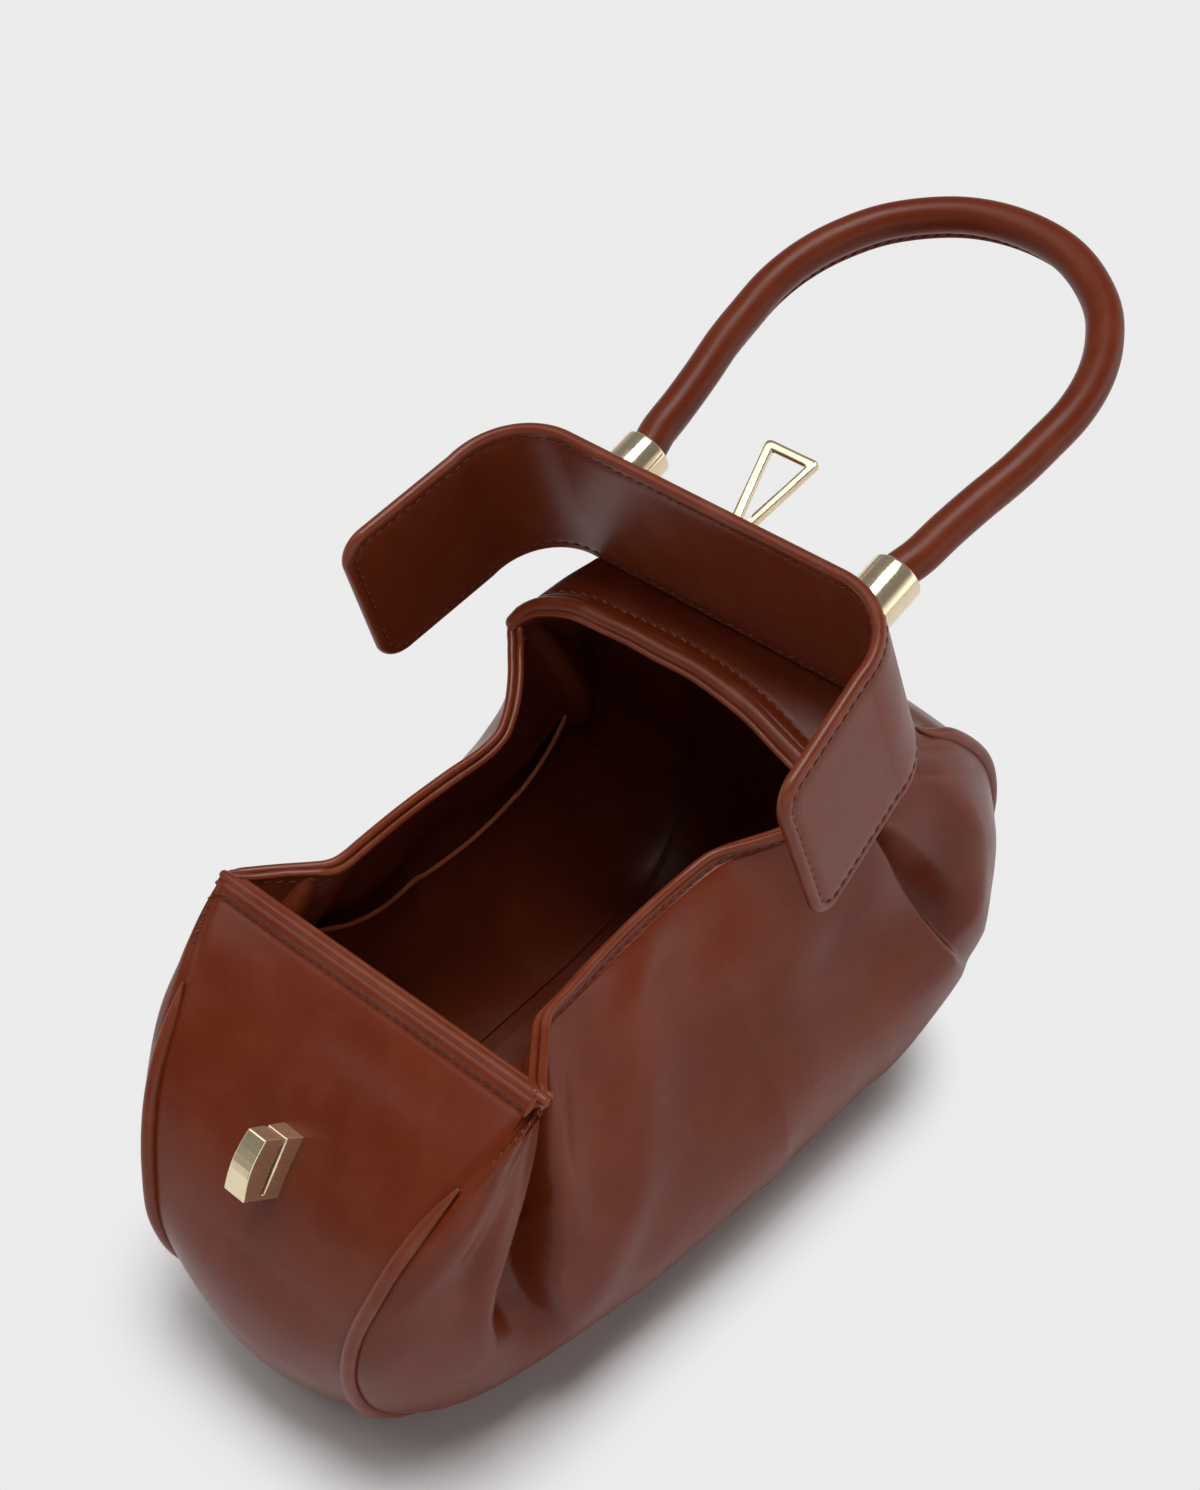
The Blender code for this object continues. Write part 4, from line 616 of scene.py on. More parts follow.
# Soft hollows and ridges: where each runs, its height in mm and its half width in mm
SOFT_LINES = (
    (((.55, .305), (.738, .3), (.8, .289), (.888, .261), (1, .24)),
     ((.55, 0), (.68, -1.6), (.8, -3), (.9, -2.2), (.98, 0)), 9),
    (((.2, .32), (.375, .328), (.55, .346), (.725, .352), (.888, .375), (.95, .41)),
     ((.15, 0), (.3, 1.6), (.5, 2.5), (.75, 2.5), (.9, 1.6), (1, 0)), 11),
    (((.3, .44), (.66, .446), (.825, .457), (.925, .504)),
     ((.3, 0), (.5, -1.2), (.7, -2.2), (.9, -1.6), (1, 0)), 17),
    (((.5, .54), (.65, .557), (.763, .586), (.888, .614)),
     ((.4, 0), (.6, 1.4), (.75, 2), (.9, 1.2), (1, 0)), 14),
    (((.4, .64), (.7, .65), (.775, .68), (.9, .7)),
     ((.35, 0), (.55, -1), (.7, -2), (.85, -1.4), (1, 0)), 12),
    (((.1, .83), (.5, .845), (.9, .86)), ((.1, 0), (.35, .8), (.6, 1.2), (.85, .5), (1, 0)), 17),
    (((.05, .925), (.4, .93), (.8, .94)), ((.02, 0), (.12, -.8), (.4, -.8), (.7, 0)), 5),
    (((.05, .105), (.4, .12), (.8, .14)), ((.05, 0), (.3, 1.4), (.6, 1.4), (.85, 0)), 11),
)
# A slow in and out of the wall's foot, in mm, by place along the seam
FOOT_WAVE = ((0, 0), (.14, 0), (.2, -.8), (.26, -1.2), (.33, .8), (.39, 2.2), (.45, .6), (.52, -2), (.6, -1.8),
             (.66, -.4), (.71, 1), (.76, .2), (.8, 0), (1, 0))


def side_detail(grid, shares, amount=1.0, edges=True):
    """A wall with its pleats, hollows and ripples, and on the leather a padded rim and a sunk seam, in mm."""
    push = np.zeros(grid.shape[:2])
    lean = np.zeros(grid.shape[:2])
    for j, along in enumerate(grid_lengths(grid, 0).T / MM):
        q = np.median(shares[:, j])
        for line, height, wide in SOFT_LINES:
            place = np.interp(table(line, q), PLACES, along)
            push[:, j] += table(height, q) * hill(along, place, wide) * ease(0.0, 0.06, shares[:, j])
        for fold in (FRONT_FOLD, BACK_FOLD):
            out, ahead = fold_offsets(along, q, fold, amount)
            push[:, j] += out
            lean[:, j] += ahead
    w = PLACES[:, None]
    push += hill(shares, 0.22, 0.16) * table(FOOT_WAVE, PLACES)[:, None]
    ripples = 0.9 * np.sin(w * 61.0 + shares * 5.0) * hill(shares, 0.10, 0.07)
    push += ripples * ease(0.30, 0.38, w) * (1 - ease(0.72, 0.80, w)) * amount
    if edges:
        along = grid_lengths(grid, 1) / MM
        from_rim = along[:, -1:] - along
        room = np.clip(along[:, -1:] / 14.0, 0.0, 1.0)
        puff = 0.45 * hill(from_rim, 1.5, 1.0) - 0.50 * hill(from_rim, RIM_STITCH / MM, 0.6)
        push += (puff * (w < CORNER_PLACE + 0.004) - 1.1 * hill(along, 0.0, 2.0)) * room
    made = grid + (normals_toward(grid, RIGHT) * push[..., None]
                   + unit(np.gradient(grid, axis=0)) * lean[..., None]) * MM
    made[..., 2] = np.maximum(made[..., 2], LOWEST)
    return made


SIDES = (("right", np.asarray), ("left", mirrored))
FIRST_ROW = 3
sides = {}
for side_name, turn in SIDES:
    plain, shares = side_base(mouths[side_name])
    outer = side_detail(plain, shares)
    outer_normals = normals_toward(outer, RIGHT)
    base = side_detail(plain, shares, 0.96, edges=False)
    base_normals = normals_toward(base, RIGHT)
    near = base - base_normals * LINING_DEPTH
    far = base - base_normals * (LINING_DEPTH + LINING_THICK)
    sides[side_name] = {"plain": plain, "outer": outer, "normals": outer_normals, "far": far,
                        "lining_normals": base_normals}
    shell("leather_side_" + side_name, turn(outer[FIRST_ROW:]),
          turn((outer - outer_normals * LEATHER_THICK)[FIRST_ROW:]), body_leather, "side_panel_" + side_name)
    shell("lining_side_" + side_name, turn(near[FIRST_ROW:]), turn(far[FIRST_ROW:]), lining_leather,
          "side_lining_" + side_name)


# Centre strip: front panel, base and back in one length

seam_steps = np.gradient(seam, axis=0)
strip_outward = unit(np.stack([np.zeros(ROWS), seam_steps[:, 2], -seam_steps[:, 1]], -1))
if strip_outward[ROWS // 2, 2] > 0:
    strip_outward = -strip_outward
bow = STRIP_BOW * table(BOW, PLACES)
even = np.linspace(-1.0, 1.0, 61)
across = np.sign(even) * (1 - (1 - np.abs(even))**1.35)


def strip_grid(depth, edge=0.0):
    """The strip at a depth below its outer face, its edges drawn in; rows run along the seam."""
    grid = np.zeros((ROWS, len(across), 3))
    grid[..., 0] = (seam[:, 0] - edge)[:, None] * across[None]
    grid[..., 1:] = seam[:, None, 1:]
    out = bow[:, None] * (1 - across[None]**2) - np.asarray(depth)
    grid += strip_outward[:, None] * out[..., None]
    grid[..., 2] = np.maximum(grid[..., 2], LOWEST)
    return grid


# Padding behind the front rim, sunk long edges, and a settled, slightly slack front panel, all in mm
along_seam = lengths_along(seam)
from_top = (along_seam / MM)[:, None]
from_edge = (1 - np.abs(across))[None] * (seam[:, 0] / MM)[:, None]
strip_puff = 1.15 * np.exp(-((from_top - 2.1) / 2.0)**4) - 0.40 * hill(from_top, FRONT_STITCH / MM, 0.7)
strip_puff = strip_puff - 1.0 * hill(from_edge, 0.0, 1.9)
settle = 0.9 * hill(from_top, 16.0, 9.0) * np.cos(across * 2.1 - 0.4)[None]
slack = 0.5 * np.sin(across * 5.0 + 0.6)[None] * hill(from_top, 45.0, 22.0)
strip_puff = strip_puff - settle + slack
strip_outer = strip_grid(-strip_puff * MM)
shell("leather_strip", strip_outer, strip_grid(LEATHER_THICK - strip_puff * MM), body_leather, "centre_strip")

corner_front = mouth[0]
roll_t = np.linspace(-1.0, 1.0, 97)
ROLL_SWELL = ((-1, 0), (-.965, .36), (-.86, .74), (-.7, .97), (-.525, 1.02), (-.312, 1.07),
              (-.067, 1.09), (.19, 1.01), (.417, .86), (.629, .6), (.8, .36), (.93, .15), (1, 0))
roll_swell = smooth_table(ROLL_SWELL, roll_t, 600)
roll_end = mouth[CORNER_ROW]
roll = np.stack([roll_t * roll_end[0], roll_end[1] + 8.4 * MM * roll_swell, roll_end[2] + 10.0 * MM * roll_swell], -1)

# The lining leaves the back of the strip and rises to the back roll
LINING_RISE_STEPS = 40
front_depth = (1.9 * MM + 3.3 * MM * np.clip(PLACES / 0.08, 0, 1))[:, None]
under = strip_grid(front_depth, 0.6 * MM)
leave = int(round(0.80 * (ROWS - 1)))
start_row = under[leave]
end_x = across * 57.0 * MM
end_row = np.stack([end_x, np.interp(end_x, roll[:, 0], roll[:, 1]) - 0.6 * MM,
                    np.interp(end_x, roll[:, 0], roll[:, 2]) - 1.6 * MM], -1)
rows = list(under[:leave + 1])
for step in range(1, LINING_RISE_STEPS + 1):
    t = step / LINING_RISE_STEPS
    rows.append(start_row + (end_row - start_row) * np.array([t, t**1.5, math.sin(math.pi / 2 * t)]))
floor_grid = np.array(rows)
floor_normals = normals_toward(floor_grid, UP)
x, y = floor_grid[..., 0], floor_grid[..., 1]
ripple = 0.8 * MM * np.sin(y * 190.0 + x * 55.0) * (1 - across[None]**4) + 0.5 * MM * np.sin(x * 210.0 - y * 60.0)
fade = ease(0.12, 0.25, np.linspace(0, 1, len(floor_grid)))[:, None]
floor_grid = floor_grid + floor_normals * (ripple * fade)[..., None]
floor_grid[..., 2] = np.maximum(floor_grid[..., 2], 5.2 * MM + 0.4 * ripple)
shell("lining_strip", floor_grid, floor_grid - floor_normals * LINING_THICK, lining_leather, "strip_lining")


# Piping with tapered tips

PIPE_START, PIPE_STOP = 0.058, 0.958
tip_places = np.linspace(PIPE_START, PIPE_STOP, 260)
pipe_path = interp_rows(tip_places, PLACES, seam)
pipe_rise = np.clip(np.minimum((tip_places - PIPE_START) / 0.04, (PIPE_STOP - tip_places) / 0.03), 0, 1)
pipe_radius = PIPING_RADIUS * (0.22 + 0.78 * np.sin(pipe_rise * math.pi / 2)**0.8)
for side_name, turn in SIDES:
    tube("leather_piping_" + side_name, turn(pipe_path), pipe_radius, edge_leather, 18, "piping_" + side_name)


# Rolled rims: a leather bead and the lining's bead beside it

BEAD_STEPS = 220
for side_name, turn in SIDES:
    rim_line = mouths[side_name][:CORNER_ROW + 1]
    plain = sides[side_name]["plain"]
    side_down = unit(plain[:CORNER_ROW + 1, -6] - plain[:CORNER_ROW + 1, -1])
    side_down[:10] = side_down[10]
    rim_in = unit(np.cross(unit(np.gradient(rim_line, axis=0)), side_down))
    rim_in = np.where(rim_in[:, :1] > 0, -rim_in, rim_in)
    rim_in[:10] = rim_in[10]
    bead = even_steps(rim_line - rim_in * 0.1 * MM, BEAD_STEPS, 1.6 * MM, 0.0)
    bead_radius = BEAD_RADIUS * (0.55 + 0.45 * ease(0.0, 0.035, np.linspace(0, 1, BEAD_STEPS)))
    bead_inner = even_steps(rim_line + rim_in * 2.35 * MM + side_down * 0.2 * MM, BEAD_STEPS, 3.6 * MM, 1.0 * MM)
    tube("leather_rim_" + side_name, turn(bead), bead_radius, edge_leather, 18, "rim_binding_" + side_name)
    tube("lining_rim_" + side_name, turn(bead_inner), BEAD_RADIUS * 0.92, edge_leather, 16)


def front_line(short, behind, below):
    """A straight line beside the front rim, short of the corners by the first length."""
    xs = np.linspace(short - corner_front[0], corner_front[0] - short, 90)
    return np.stack([xs, np.full(90, corner_front[1] + behind), np.full(90, corner_front[2] - below)], -1)


front_bead = front_line(1.0 * MM, 0.5 * MM, 0.0)
front_radius = 1.7 * MM * (0.75 + 0.25 * ease(0.0, 3.0 * MM, corner_front[0] - np.abs(front_bead[:, 0])))
tube("leather_rim_front", front_bead, front_radius, edge_leather, 18, "rim_binding_front")
tube("lining_rim_front", front_line(1.5 * MM, 2.7 * MM, 0.5 * MM), 0.95 * MM, edge_leather, 14)

wobble = (0.22 * MM * np.sin(roll_t * 9.0) + 0.10 * MM * np.sin(roll_t * 17.0 + 1.0)) * (1 - roll_t**2)
roll_path = roll + np.stack([np.zeros(97), wobble * 0.5, wobble], -1)
tube("leather_rim_back", roll_path, 2.5 * MM, edge_leather, 20, "rim_binding_back")
inner_roll = (roll_path + np.array([0.0, -2.6 * MM, -1.5 * MM])) * np.array([0.985, 1, 1])
tube("lining_rim_back", inner_roll, 1.0 * MM, edge_leather, 14)


# Top panel between the back roll and the lid

TOP_ROWS = 40
HINGE_RADIUS = 2.3 * MM
HINGE_ANGLE = math.radians(75.0)
edge_back = even_steps(mouth[CORNER_ROW:], TOP_ROWS)
end_y = hinge[1] - HINGE_RADIUS * math.cos(HINGE_ANGLE)
end_z = hinge[2] - HINGE_RADIUS * math.sin(HINGE_ANGLE)
top_rows = []
for k, t in enumerate(np.linspace(0.0, 1.0, TOP_ROWS)):
    x = (roll[:, 0] / roll[-1, 0] * (1 - t) + roll_t * t) * edge_back[k][0]
    top_rows.append(np.stack([x, roll[:, 1] * (1 - t) + end_y * t, roll[:, 2] * (1 - t) + end_z * t], -1))
top_grid = np.array(top_rows)
top_normals = normals_toward(top_grid, UP)
top_along = grid_lengths(top_grid, 0)
top_lift = 1.2 * hill(top_along / MM, 2.0, 2.4) - 0.22 * hill(top_along / MM, BACK_STITCH / MM, 0.8)
top_lift = top_lift + 0.7 * np.sin(math.pi * np.clip(top_along / top_along[-1], 0, 1))
top_grid = top_grid + top_normals * (top_lift * MM)[..., None]
shell("leather_top_panel", top_grid, top_grid - top_normals * LEATHER_THICK, body_leather, "top_panel")


# Slip pocket on the left lining: its open edge, by place along the seam and column of the wall

POCKET_TOP = ((.29, 82), (.345, 79), (.41, 73), (.48, 67), (.54, 64), (.6, 65), (.66, 68), (.75, 74))
POCKET_FOOT = 20.0
pocket_top = smooth_table(POCKET_TOP, PLACES, 200)
pocket_rows = []
pocket_normals = []
for row in range(int(ROWS * 0.29), int(ROWS * 0.715)):
    columns = np.linspace(POCKET_FOOT, pocket_top[row], 64)
    for values, name in ((pocket_rows, "far"), (pocket_normals, "lining_normals")):
        values.append(interp_rows(columns, np.arange(COLUMNS), sides["left"][name][row]))
pocket_base = mirrored(pocket_rows)
pocket_facing = mirrored(unit(np.array(pocket_normals)))
rise = np.linspace(0, 1, pocket_base.shape[1])[None, :, None]
bulge = np.sin(math.pi * np.linspace(0, 1, pocket_base.shape[0]))[:, None, None]**0.6
pocket_outer = pocket_base - pocket_facing * (0.3 + 3.8 * rise**2 * bulge) * MM
pocket_inner = pocket_outer - pocket_facing * LINING_THICK
shell("leather_pocket", pocket_outer, pocket_inner, lining_leather, "slip_pocket")
pocket_edge = (pocket_outer[:, -1] + pocket_inner[:, -1]) / 2
# The edge bead takes the painted highlight colour.
tube("leather_pocket_edge", pocket_edge, 0.8 * MM, pocket_bead_painted_highlight, 12)


# Lid band, in the frame of its hinge

LID_TILT = math.radians(18.3)
LID_HEIGHT = 54.6 * MM
LID_DEPTH = 66.3 * MM
BEND = 24.8 * MM
HALF_BEND = 71.8 * MM
HALF_END = 77.3 * MM
FLARE = 3.6 * MM
LID_CORNER = 9.0 * MM
HALF_THICK = 1.85 * MM
BEND_STEPS = 40
FLAT_STEPS = 23
FACE_ROWS = 49
STITCH_INSET = 3.4 * MM


def lid_world(points):
    p = np.asarray(points, float)
    y = p[..., 1] * math.cos(LID_TILT) - p[..., 2] * math.sin(LID_TILT)
    z = p[..., 1] * math.sin(LID_TILT) + p[..., 2] * math.cos(LID_TILT)
    return np.stack([p[..., 0], y, z], -1) + hinge


def lid_columns(inset):
    """Distances from an arm's end to the bend, close together round the corner."""
    radius = LID_CORNER - inset
    turn = np.linspace(0, math.pi / 2, 19)
    near = inset + radius * (1 - np.cos(turn))
    arm = LID_DEPTH - BEND
    return np.concatenate([near, np.linspace(near[-1], arm, 31)[1:]])


def lid_plan(depth, level, inset):
    """The band's plan at a level and a depth below its outer face, from the left arm's end to the right one's."""
    share = 1.0 - level / LID_HEIGHT
    at_bend = HALF_BEND + FLARE * share
    at_end = HALF_END + FLARE * share
    t = lid_columns(inset)
    angle = np.linspace(0, math.pi / 2, BEND_STEPS + 1)[1:]
    radius = BEND - depth
    flat = at_bend - BEND
    xs = flat * (1 - np.arange(1, FLAT_STEPS + 1) / (FLAT_STEPS + 1))
    right = np.vstack([
        np.stack([at_end + (at_bend - at_end) * t / (LID_DEPTH - BEND) - depth, HALF_THICK - LID_DEPTH + t], -1),
        np.stack([flat + radius * np.cos(angle), HALF_THICK - BEND + radius * np.sin(angle)], -1),
        np.stack([xs, np.full(FLAT_STEPS, HALF_THICK - depth)], -1),
    ])
    left = right * np.array([-1.0, 1.0])
    return np.vstack([left, [[0.0, HALF_THICK - depth]], right[::-1]])


def lid_levels(inset):
    """The band's lower and upper edge at each point of its plan, with the arms' rounded corners."""
    radius = LID_CORNER - inset
    reach = lid_columns(inset) - inset
    trim = np.where(reach < radius, radius - np.sqrt(np.maximum(0.0, radius**2 - (radius - reach)**2)), 0.0)
    trims = np.concatenate([trim, np.zeros(2 * (BEND_STEPS + FLAT_STEPS) + 1), trim[::-1]])
    low = -HALF_THICK + inset
    return low + trims, low + LID_HEIGHT - 2 * inset - trims


def lid_line(depth, inset, levels):
    return np.array([[*lid_plan(depth, z, inset)[k], z] for k, z in enumerate(levels)])


def lid_face(depth, inset):
    low, high = lid_levels(inset)
    steps = 0.5 - 0.5 * np.cos(np.linspace(0, math.pi, FACE_ROWS))
    return np.array([lid_line(depth, inset, low + (high - low) * step) for step in steps]).transpose(1, 0, 2)


def lid_loop(depth, inset, count):
    """A closed line round the band, an inset from its edge, in even steps."""
    low, high = lid_levels(inset)
    loop = np.vstack([lid_line(depth, inset, high), lid_line(depth, inset, low)[::-1]])
    return even_steps(np.vstack([loop, loop[:1]]), count + 1)[:-1]


edge_loop = lid_loop(HALF_THICK, HALF_THICK, 900)


def distance_from_edge(grid):
    best = np.full(grid.shape[:2], 1e9)
    for p in edge_loop:
        best = np.minimum(best, np.sum((grid - p)**2, axis=2))
    return np.sqrt(best)


def lid_skin(depth, sign):
    """A face that is tangent to the rolled edge, dips at the stitches and is a little full between."""
    grid = lid_face(depth, HALF_THICK * 1.02)
    normals = normals_toward(grid, (0.0, sign, 0.0))
    gap = np.sqrt(np.maximum(distance_from_edge(grid)**2 - HALF_THICK**2, 0.0)) / MM
    inset = (STITCH_INSET - HALF_THICK) / MM
    lift = 0.22 * ease(inset, inset + 3.0, gap) - 0.28 * hill(gap, inset, 0.5) - 0.22 * hill(gap, 0.0, 0.5)
    return grid + normals * (lift * MM)[..., None], normals


LID_FACES = (("outer", 0.0, 1.0, 1.1 * MM, "leather", "lid_cover"),
             ("inner", 2 * HALF_THICK, -1.0, LINING_THICK, "lining", "lid_lining"))
for face_name, depth, sign, thick, slot, node in LID_FACES:
    face, normals = lid_skin(depth, sign)
    shell("leather_lid_" + face_name, lid_world(face), lid_world(face - normals * thick), lid_leather, node,
          "flap")
tube("leather_lid_edge", lid_world(edge_loop), HALF_THICK, edge_leather, 20, "lid_binding", body="flap", closed=True)

for face_name, depth, sign, *_ in LID_FACES:
    loop = lid_loop(depth, STITCH_INSET, 1200)
    side = np.sign(loop[:, 0])
    along_x = np.abs(loop[:, 0]) - (HALF_BEND - BEND)
    along_y = loop[:, 1] - (HALF_THICK - BEND)
    in_bend = (along_y > 0) & (along_x > 0)
    n = np.zeros_like(loop)
    n[:, 0] = np.where(in_bend, side * along_x, np.where(along_y <= 0, side, 0.0))
    n[:, 1] = np.where(in_bend, along_y, np.where(along_y > 0, 1.0, 0.0))
    n = unit(n) * sign
    stitch_run("stitches_lid_" + face_name, lid_world(loop - n * 0.22 * MM), lid_world(loop + n) - lid_world(loop),
               stitch_thread, body="flap", closed=True)


# Handle

HANDLE_SHARES = ((0, 0), (.2, .06), (.33, .15), (.53, .25), (.8, .36), (.93, .46), (1, .565))
CROWN_SHARES = ((.965, .67), (.875, .77), (.7, .875), (.36, .972), (0, 1))
FOOT = 44.0 * MM
HANDLE_HALF = 52.8 * MM
HANDLE_HEIGHT = 123.0 * MM
HANDLE_LEVEL = 24.7 * MM
HANDLE_RADIUS = 5.4 * MM
FERRULE_LENGTH = 21.5 * MM
HANDLE_ROWS = 220
SEAM_HALF = 1.25 * MM
ferrule_end = HALF_THICK + FERRULE_LENGTH
right = [(FOOT, ferrule_end - 4.0 * MM)]
right += [(FOOT + (HANDLE_HALF - FOOT) * w, ferrule_end + HANDLE_HEIGHT * h) for w, h in HANDLE_SHARES]
right += [(HANDLE_HALF * w, ferrule_end + HANDLE_HEIGHT * h) for w, h in CROWN_SHARES]
left = [(-x, y) for x, y in right[:-1]]
handle_path = smooth_path([(x, y, HANDLE_LEVEL) for x, y in left + right[::-1]], HANDLE_ROWS)
handle_along = lengths_along(handle_path)
from_foot = np.minimum(handle_along, handle_along[-1] - handle_along) / MM


def handle_section(proud):
    """A round roll with its turned seam standing out below, filleted into the roll, worked out in mm."""
    r = HANDLE_RADIUS / MM
    half = SEAM_HALF / MM
    start = math.asin(min(1.0, (half + 1.1) / r))
    angles = np.linspace(-math.pi / 2 + start, 1.5 * math.pi - start, 33)
    roll_points = [(r * math.cos(a), r * math.sin(a)) for a in angles]
    x0, y0 = roll_points[-1]
    bottom = -r - proud
    left = []
    for turn in (0.15 * math.pi, 0.3 * math.pi, 0.425 * math.pi):
        left.append((x0 - (half + x0) * math.sin(turn), y0 - (r + 0.35 + y0) * (1 - math.cos(turn))))
    left.append((-half, min(-r - 0.5, bottom + 1.2)))
    angles = np.linspace(math.pi, 2 * math.pi, 9)
    foot = [(half * math.cos(a), bottom + half * 0.8 + half * 0.8 * math.sin(a)) for a in angles]
    return np.array(roll_points + left + foot + [(-x, y) for x, y in left[::-1]]) * MM


handle_tangent = unit(np.gradient(handle_path, axis=0))
handle_side = unit(np.stack([handle_tangent[:, 1], -handle_tangent[:, 0], np.zeros(HANDLE_ROWS)], -1))
rings = []
for p, s, d in zip(handle_path, handle_side, from_foot):
    section = handle_section(0.6 + 2.8 * float(ease(4.0, 16.0, d)))
    rings.append(p + s * section[:, :1] + np.array(UP) * section[:, 1:])
rings = np.array(rings)
add_mesh("leather_handle", lid_world(rings).reshape(-1, 3), ring_faces(*rings.shape[:2]), (handle_leather,),
         "handle_cover", "flap", sharp=60)
seam_rows = from_foot > 14.0
for face_name, sign in (("front", 1.0), ("back", -1.0)):
    line = handle_path[seam_rows] + handle_side[seam_rows] * sign * SEAM_HALF
    line = line + np.array([0, 0, -(HANDLE_RADIUS + 1.9 * MM)])
    points = lid_world(line)
    facing = lid_world(line + handle_side[seam_rows] * sign) - points
    stitch_run("stitches_handle_" + face_name, points, facing, stitch_thread, body="flap", lift=0.25 * MM)


# Ferrules, turned round the handle's feet: steps of height out of the lid and radius

FERRULE_RADIUS = 7.8 * MM
FERRULE_BORE = 6.4 * MM
FOOT_ROUND = 0.5 * MM
END_ROUND = 0.7 * MM
ferrule_base = HALF_THICK + 0.3 * MM
profile = [(ferrule_base, 0.3 * MM), (ferrule_base, FERRULE_RADIUS - FOOT_ROUND)]
for a in np.linspace(0, math.pi / 2, 6)[1:]:
    profile.append((ferrule_base + FOOT_ROUND * (1 - math.cos(a)),
                    FERRULE_RADIUS - FOOT_ROUND + FOOT_ROUND * math.sin(a)))
for a in np.linspace(0, math.pi / 2, 7):
    profile.append((ferrule_end - END_ROUND + END_ROUND * math.sin(a),
                    FERRULE_RADIUS - END_ROUND + END_ROUND * math.cos(a)))
profile += [(ferrule_end, 6.75 * MM), (ferrule_end - 0.15 * MM, 6.55 * MM), (ferrule_end - 0.8 * MM, FERRULE_BORE),
            (ferrule_end - 9.0 * MM, FERRULE_BORE), (ferrule_end - 9.0 * MM, 0.3 * MM)]
angles = turns(72)
for side_name, sign in (("left", -1), ("right", 1)):
    verts = [(sign * FOOT + radius * math.cos(a), height, HANDLE_LEVEL - 0.8 * MM + radius * math.sin(a))
             for height, radius in profile for a in angles]
    add_mesh("metal_ferrule_" + side_name, lid_world(verts), ring_faces(len(profile), len(angles)), (gold,),
             "ferrule_" + side_name, "flap", sharp=35)


# Clasp ring: a rounded bar bent to a triangle, with an eye round the pin

RING_TILT = math.radians(29.0)
RING_LENGTH = 33.5 * MM
RING_HALF_THICK = 1.2 * MM
RING_SECTION = 20
RING_PIVOT = lid_world(np.array([[0.0, HALF_THICK + 3.0 * MM, 27.9 * MM]]))[0]
ring_ahead = np.array([0.0, math.cos(RING_TILT), math.sin(RING_TILT)])
ring_up = np.array([0.0, -math.sin(RING_TILT), math.cos(RING_TILT)])


def ring_loop(near, far, half_near, half_far, round_near, round_far):
    """A closed trapezoid with rounded corners; every loop has the same count of points."""
    corners = [np.array(p) for p in ((half_near, near), (half_far, far), (-half_far, far), (-half_near, near))]
    rounds = (round_near, round_far, round_far, round_near)
    points = []
    for k, corner in enumerate(corners):
        after = (k + 1) % 4
        start = corner + unit(corners[k - 1] - corner) * rounds[k]
        stop = corner + unit(corners[after] - corner) * rounds[k]
        ahead = corners[after] + unit(corner - corners[after]) * rounds[after]
        points += [start * (1 - t)**2 + corner * 2 * t * (1 - t) + stop * t**2 for t in np.linspace(0, 1, 9)]
        points += [stop * (1 - t) + ahead * t for t in np.linspace(0, 1, 12)[1:-1]]
    return np.array(points)


def squared(value):
    """A circle's coordinate moved out towards a square with round corners."""
    return math.copysign(abs(value)**0.55, value) * RING_HALF_THICK


ring_outer = ring_loop(0.9 * MM, RING_LENGTH, 1.9 * MM, 9.4 * MM, 0.6 * MM, 2.4 * MM)
ring_inner = ring_loop(9.3 * MM, 30.8 * MM, 0.95 * MM, 6.0 * MM, 0.4 * MM, 0.8 * MM)
across_bar = (ring_outer - ring_inner) / 2
verts = []
for centre, side in zip((ring_outer + ring_inner) / 2, across_bar):
    half = np.linalg.norm(side)
    for a in turns(RING_SECTION):
        wide = squared(math.cos(a))
        reach = wide + math.copysign(half - RING_HALF_THICK, wide) if abs(wide) > 1e-9 else 0.0
        flat = centre + side / half * reach
        verts.append(RING_PIVOT + np.array([flat[0], 0.0, 0.0]) + ring_ahead * flat[1]
                     + ring_up * squared(math.sin(a)))
add_mesh("metal_clasp_ring", verts, ring_faces(len(across_bar), RING_SECTION, closed=True), (gold,), "clasp_ring",
         "ring", sharp=40)
eye = np.array([RING_PIVOT + np.array([x, 0.0, 0.0]) for x in np.linspace(-2.0 * MM, 2.0 * MM, 6)])
tube("metal_ring_eye", eye, 1.9 * MM, gold, 24, body="ring")


# Stitches on the body


def line_on_grid(grid, normals, rows, distance):
    """The points that lie a distance below the grid's last column, with their normals."""
    points = []
    facing = []
    for k in rows:
        row = grid[k][::-1]
        along = lengths_along(row)
        points.append(interp_rows(distance, along, row))
        facing.append(normals[k][::-1][min(len(row) - 1, int(np.searchsorted(along, distance)))])
    return np.array(points), np.array(facing)


# The outer rim stitches take the darker thread, whose colour is painted shade.
rim_rows = range(36, CORNER_ROW - 4)
for side_name, turn in SIDES:
    made = sides[side_name]
    line, facing = line_on_grid(made["outer"], made["normals"], rim_rows, RIM_STITCH)
    stitch_run("stitches_rim_" + side_name, turn(line), turn(facing), rim_thread_painted_shade)
    line, facing = line_on_grid(made["far"], -made["lining_normals"], rim_rows, 4.2 * MM)
    stitch_run("stitches_inside_" + side_name, turn(line), turn(facing), stitch_thread)

strip_normals = normals_toward(strip_outer, (0.0, 0.0, -1.0))
line = [interp_rows(FRONT_STITCH, along_seam, strip_outer[:, j]) for j in range(len(across))]
# The front stitches take the darker thread, whose colour is painted shade.
stitch_run("stitches_front", line, strip_normals[6], rim_thread_painted_shade, slant=-12.0)

# The back stitches take the paler thread, whose colour is a painted highlight.
line = [interp_rows(BACK_STITCH, top_along[:, j], top_grid[:, j]) for j in range(3, 94)]
stitch_run("stitches_back", line, top_normals[8, 3:94], back_thread_painted_highlight, slant=-12.0)

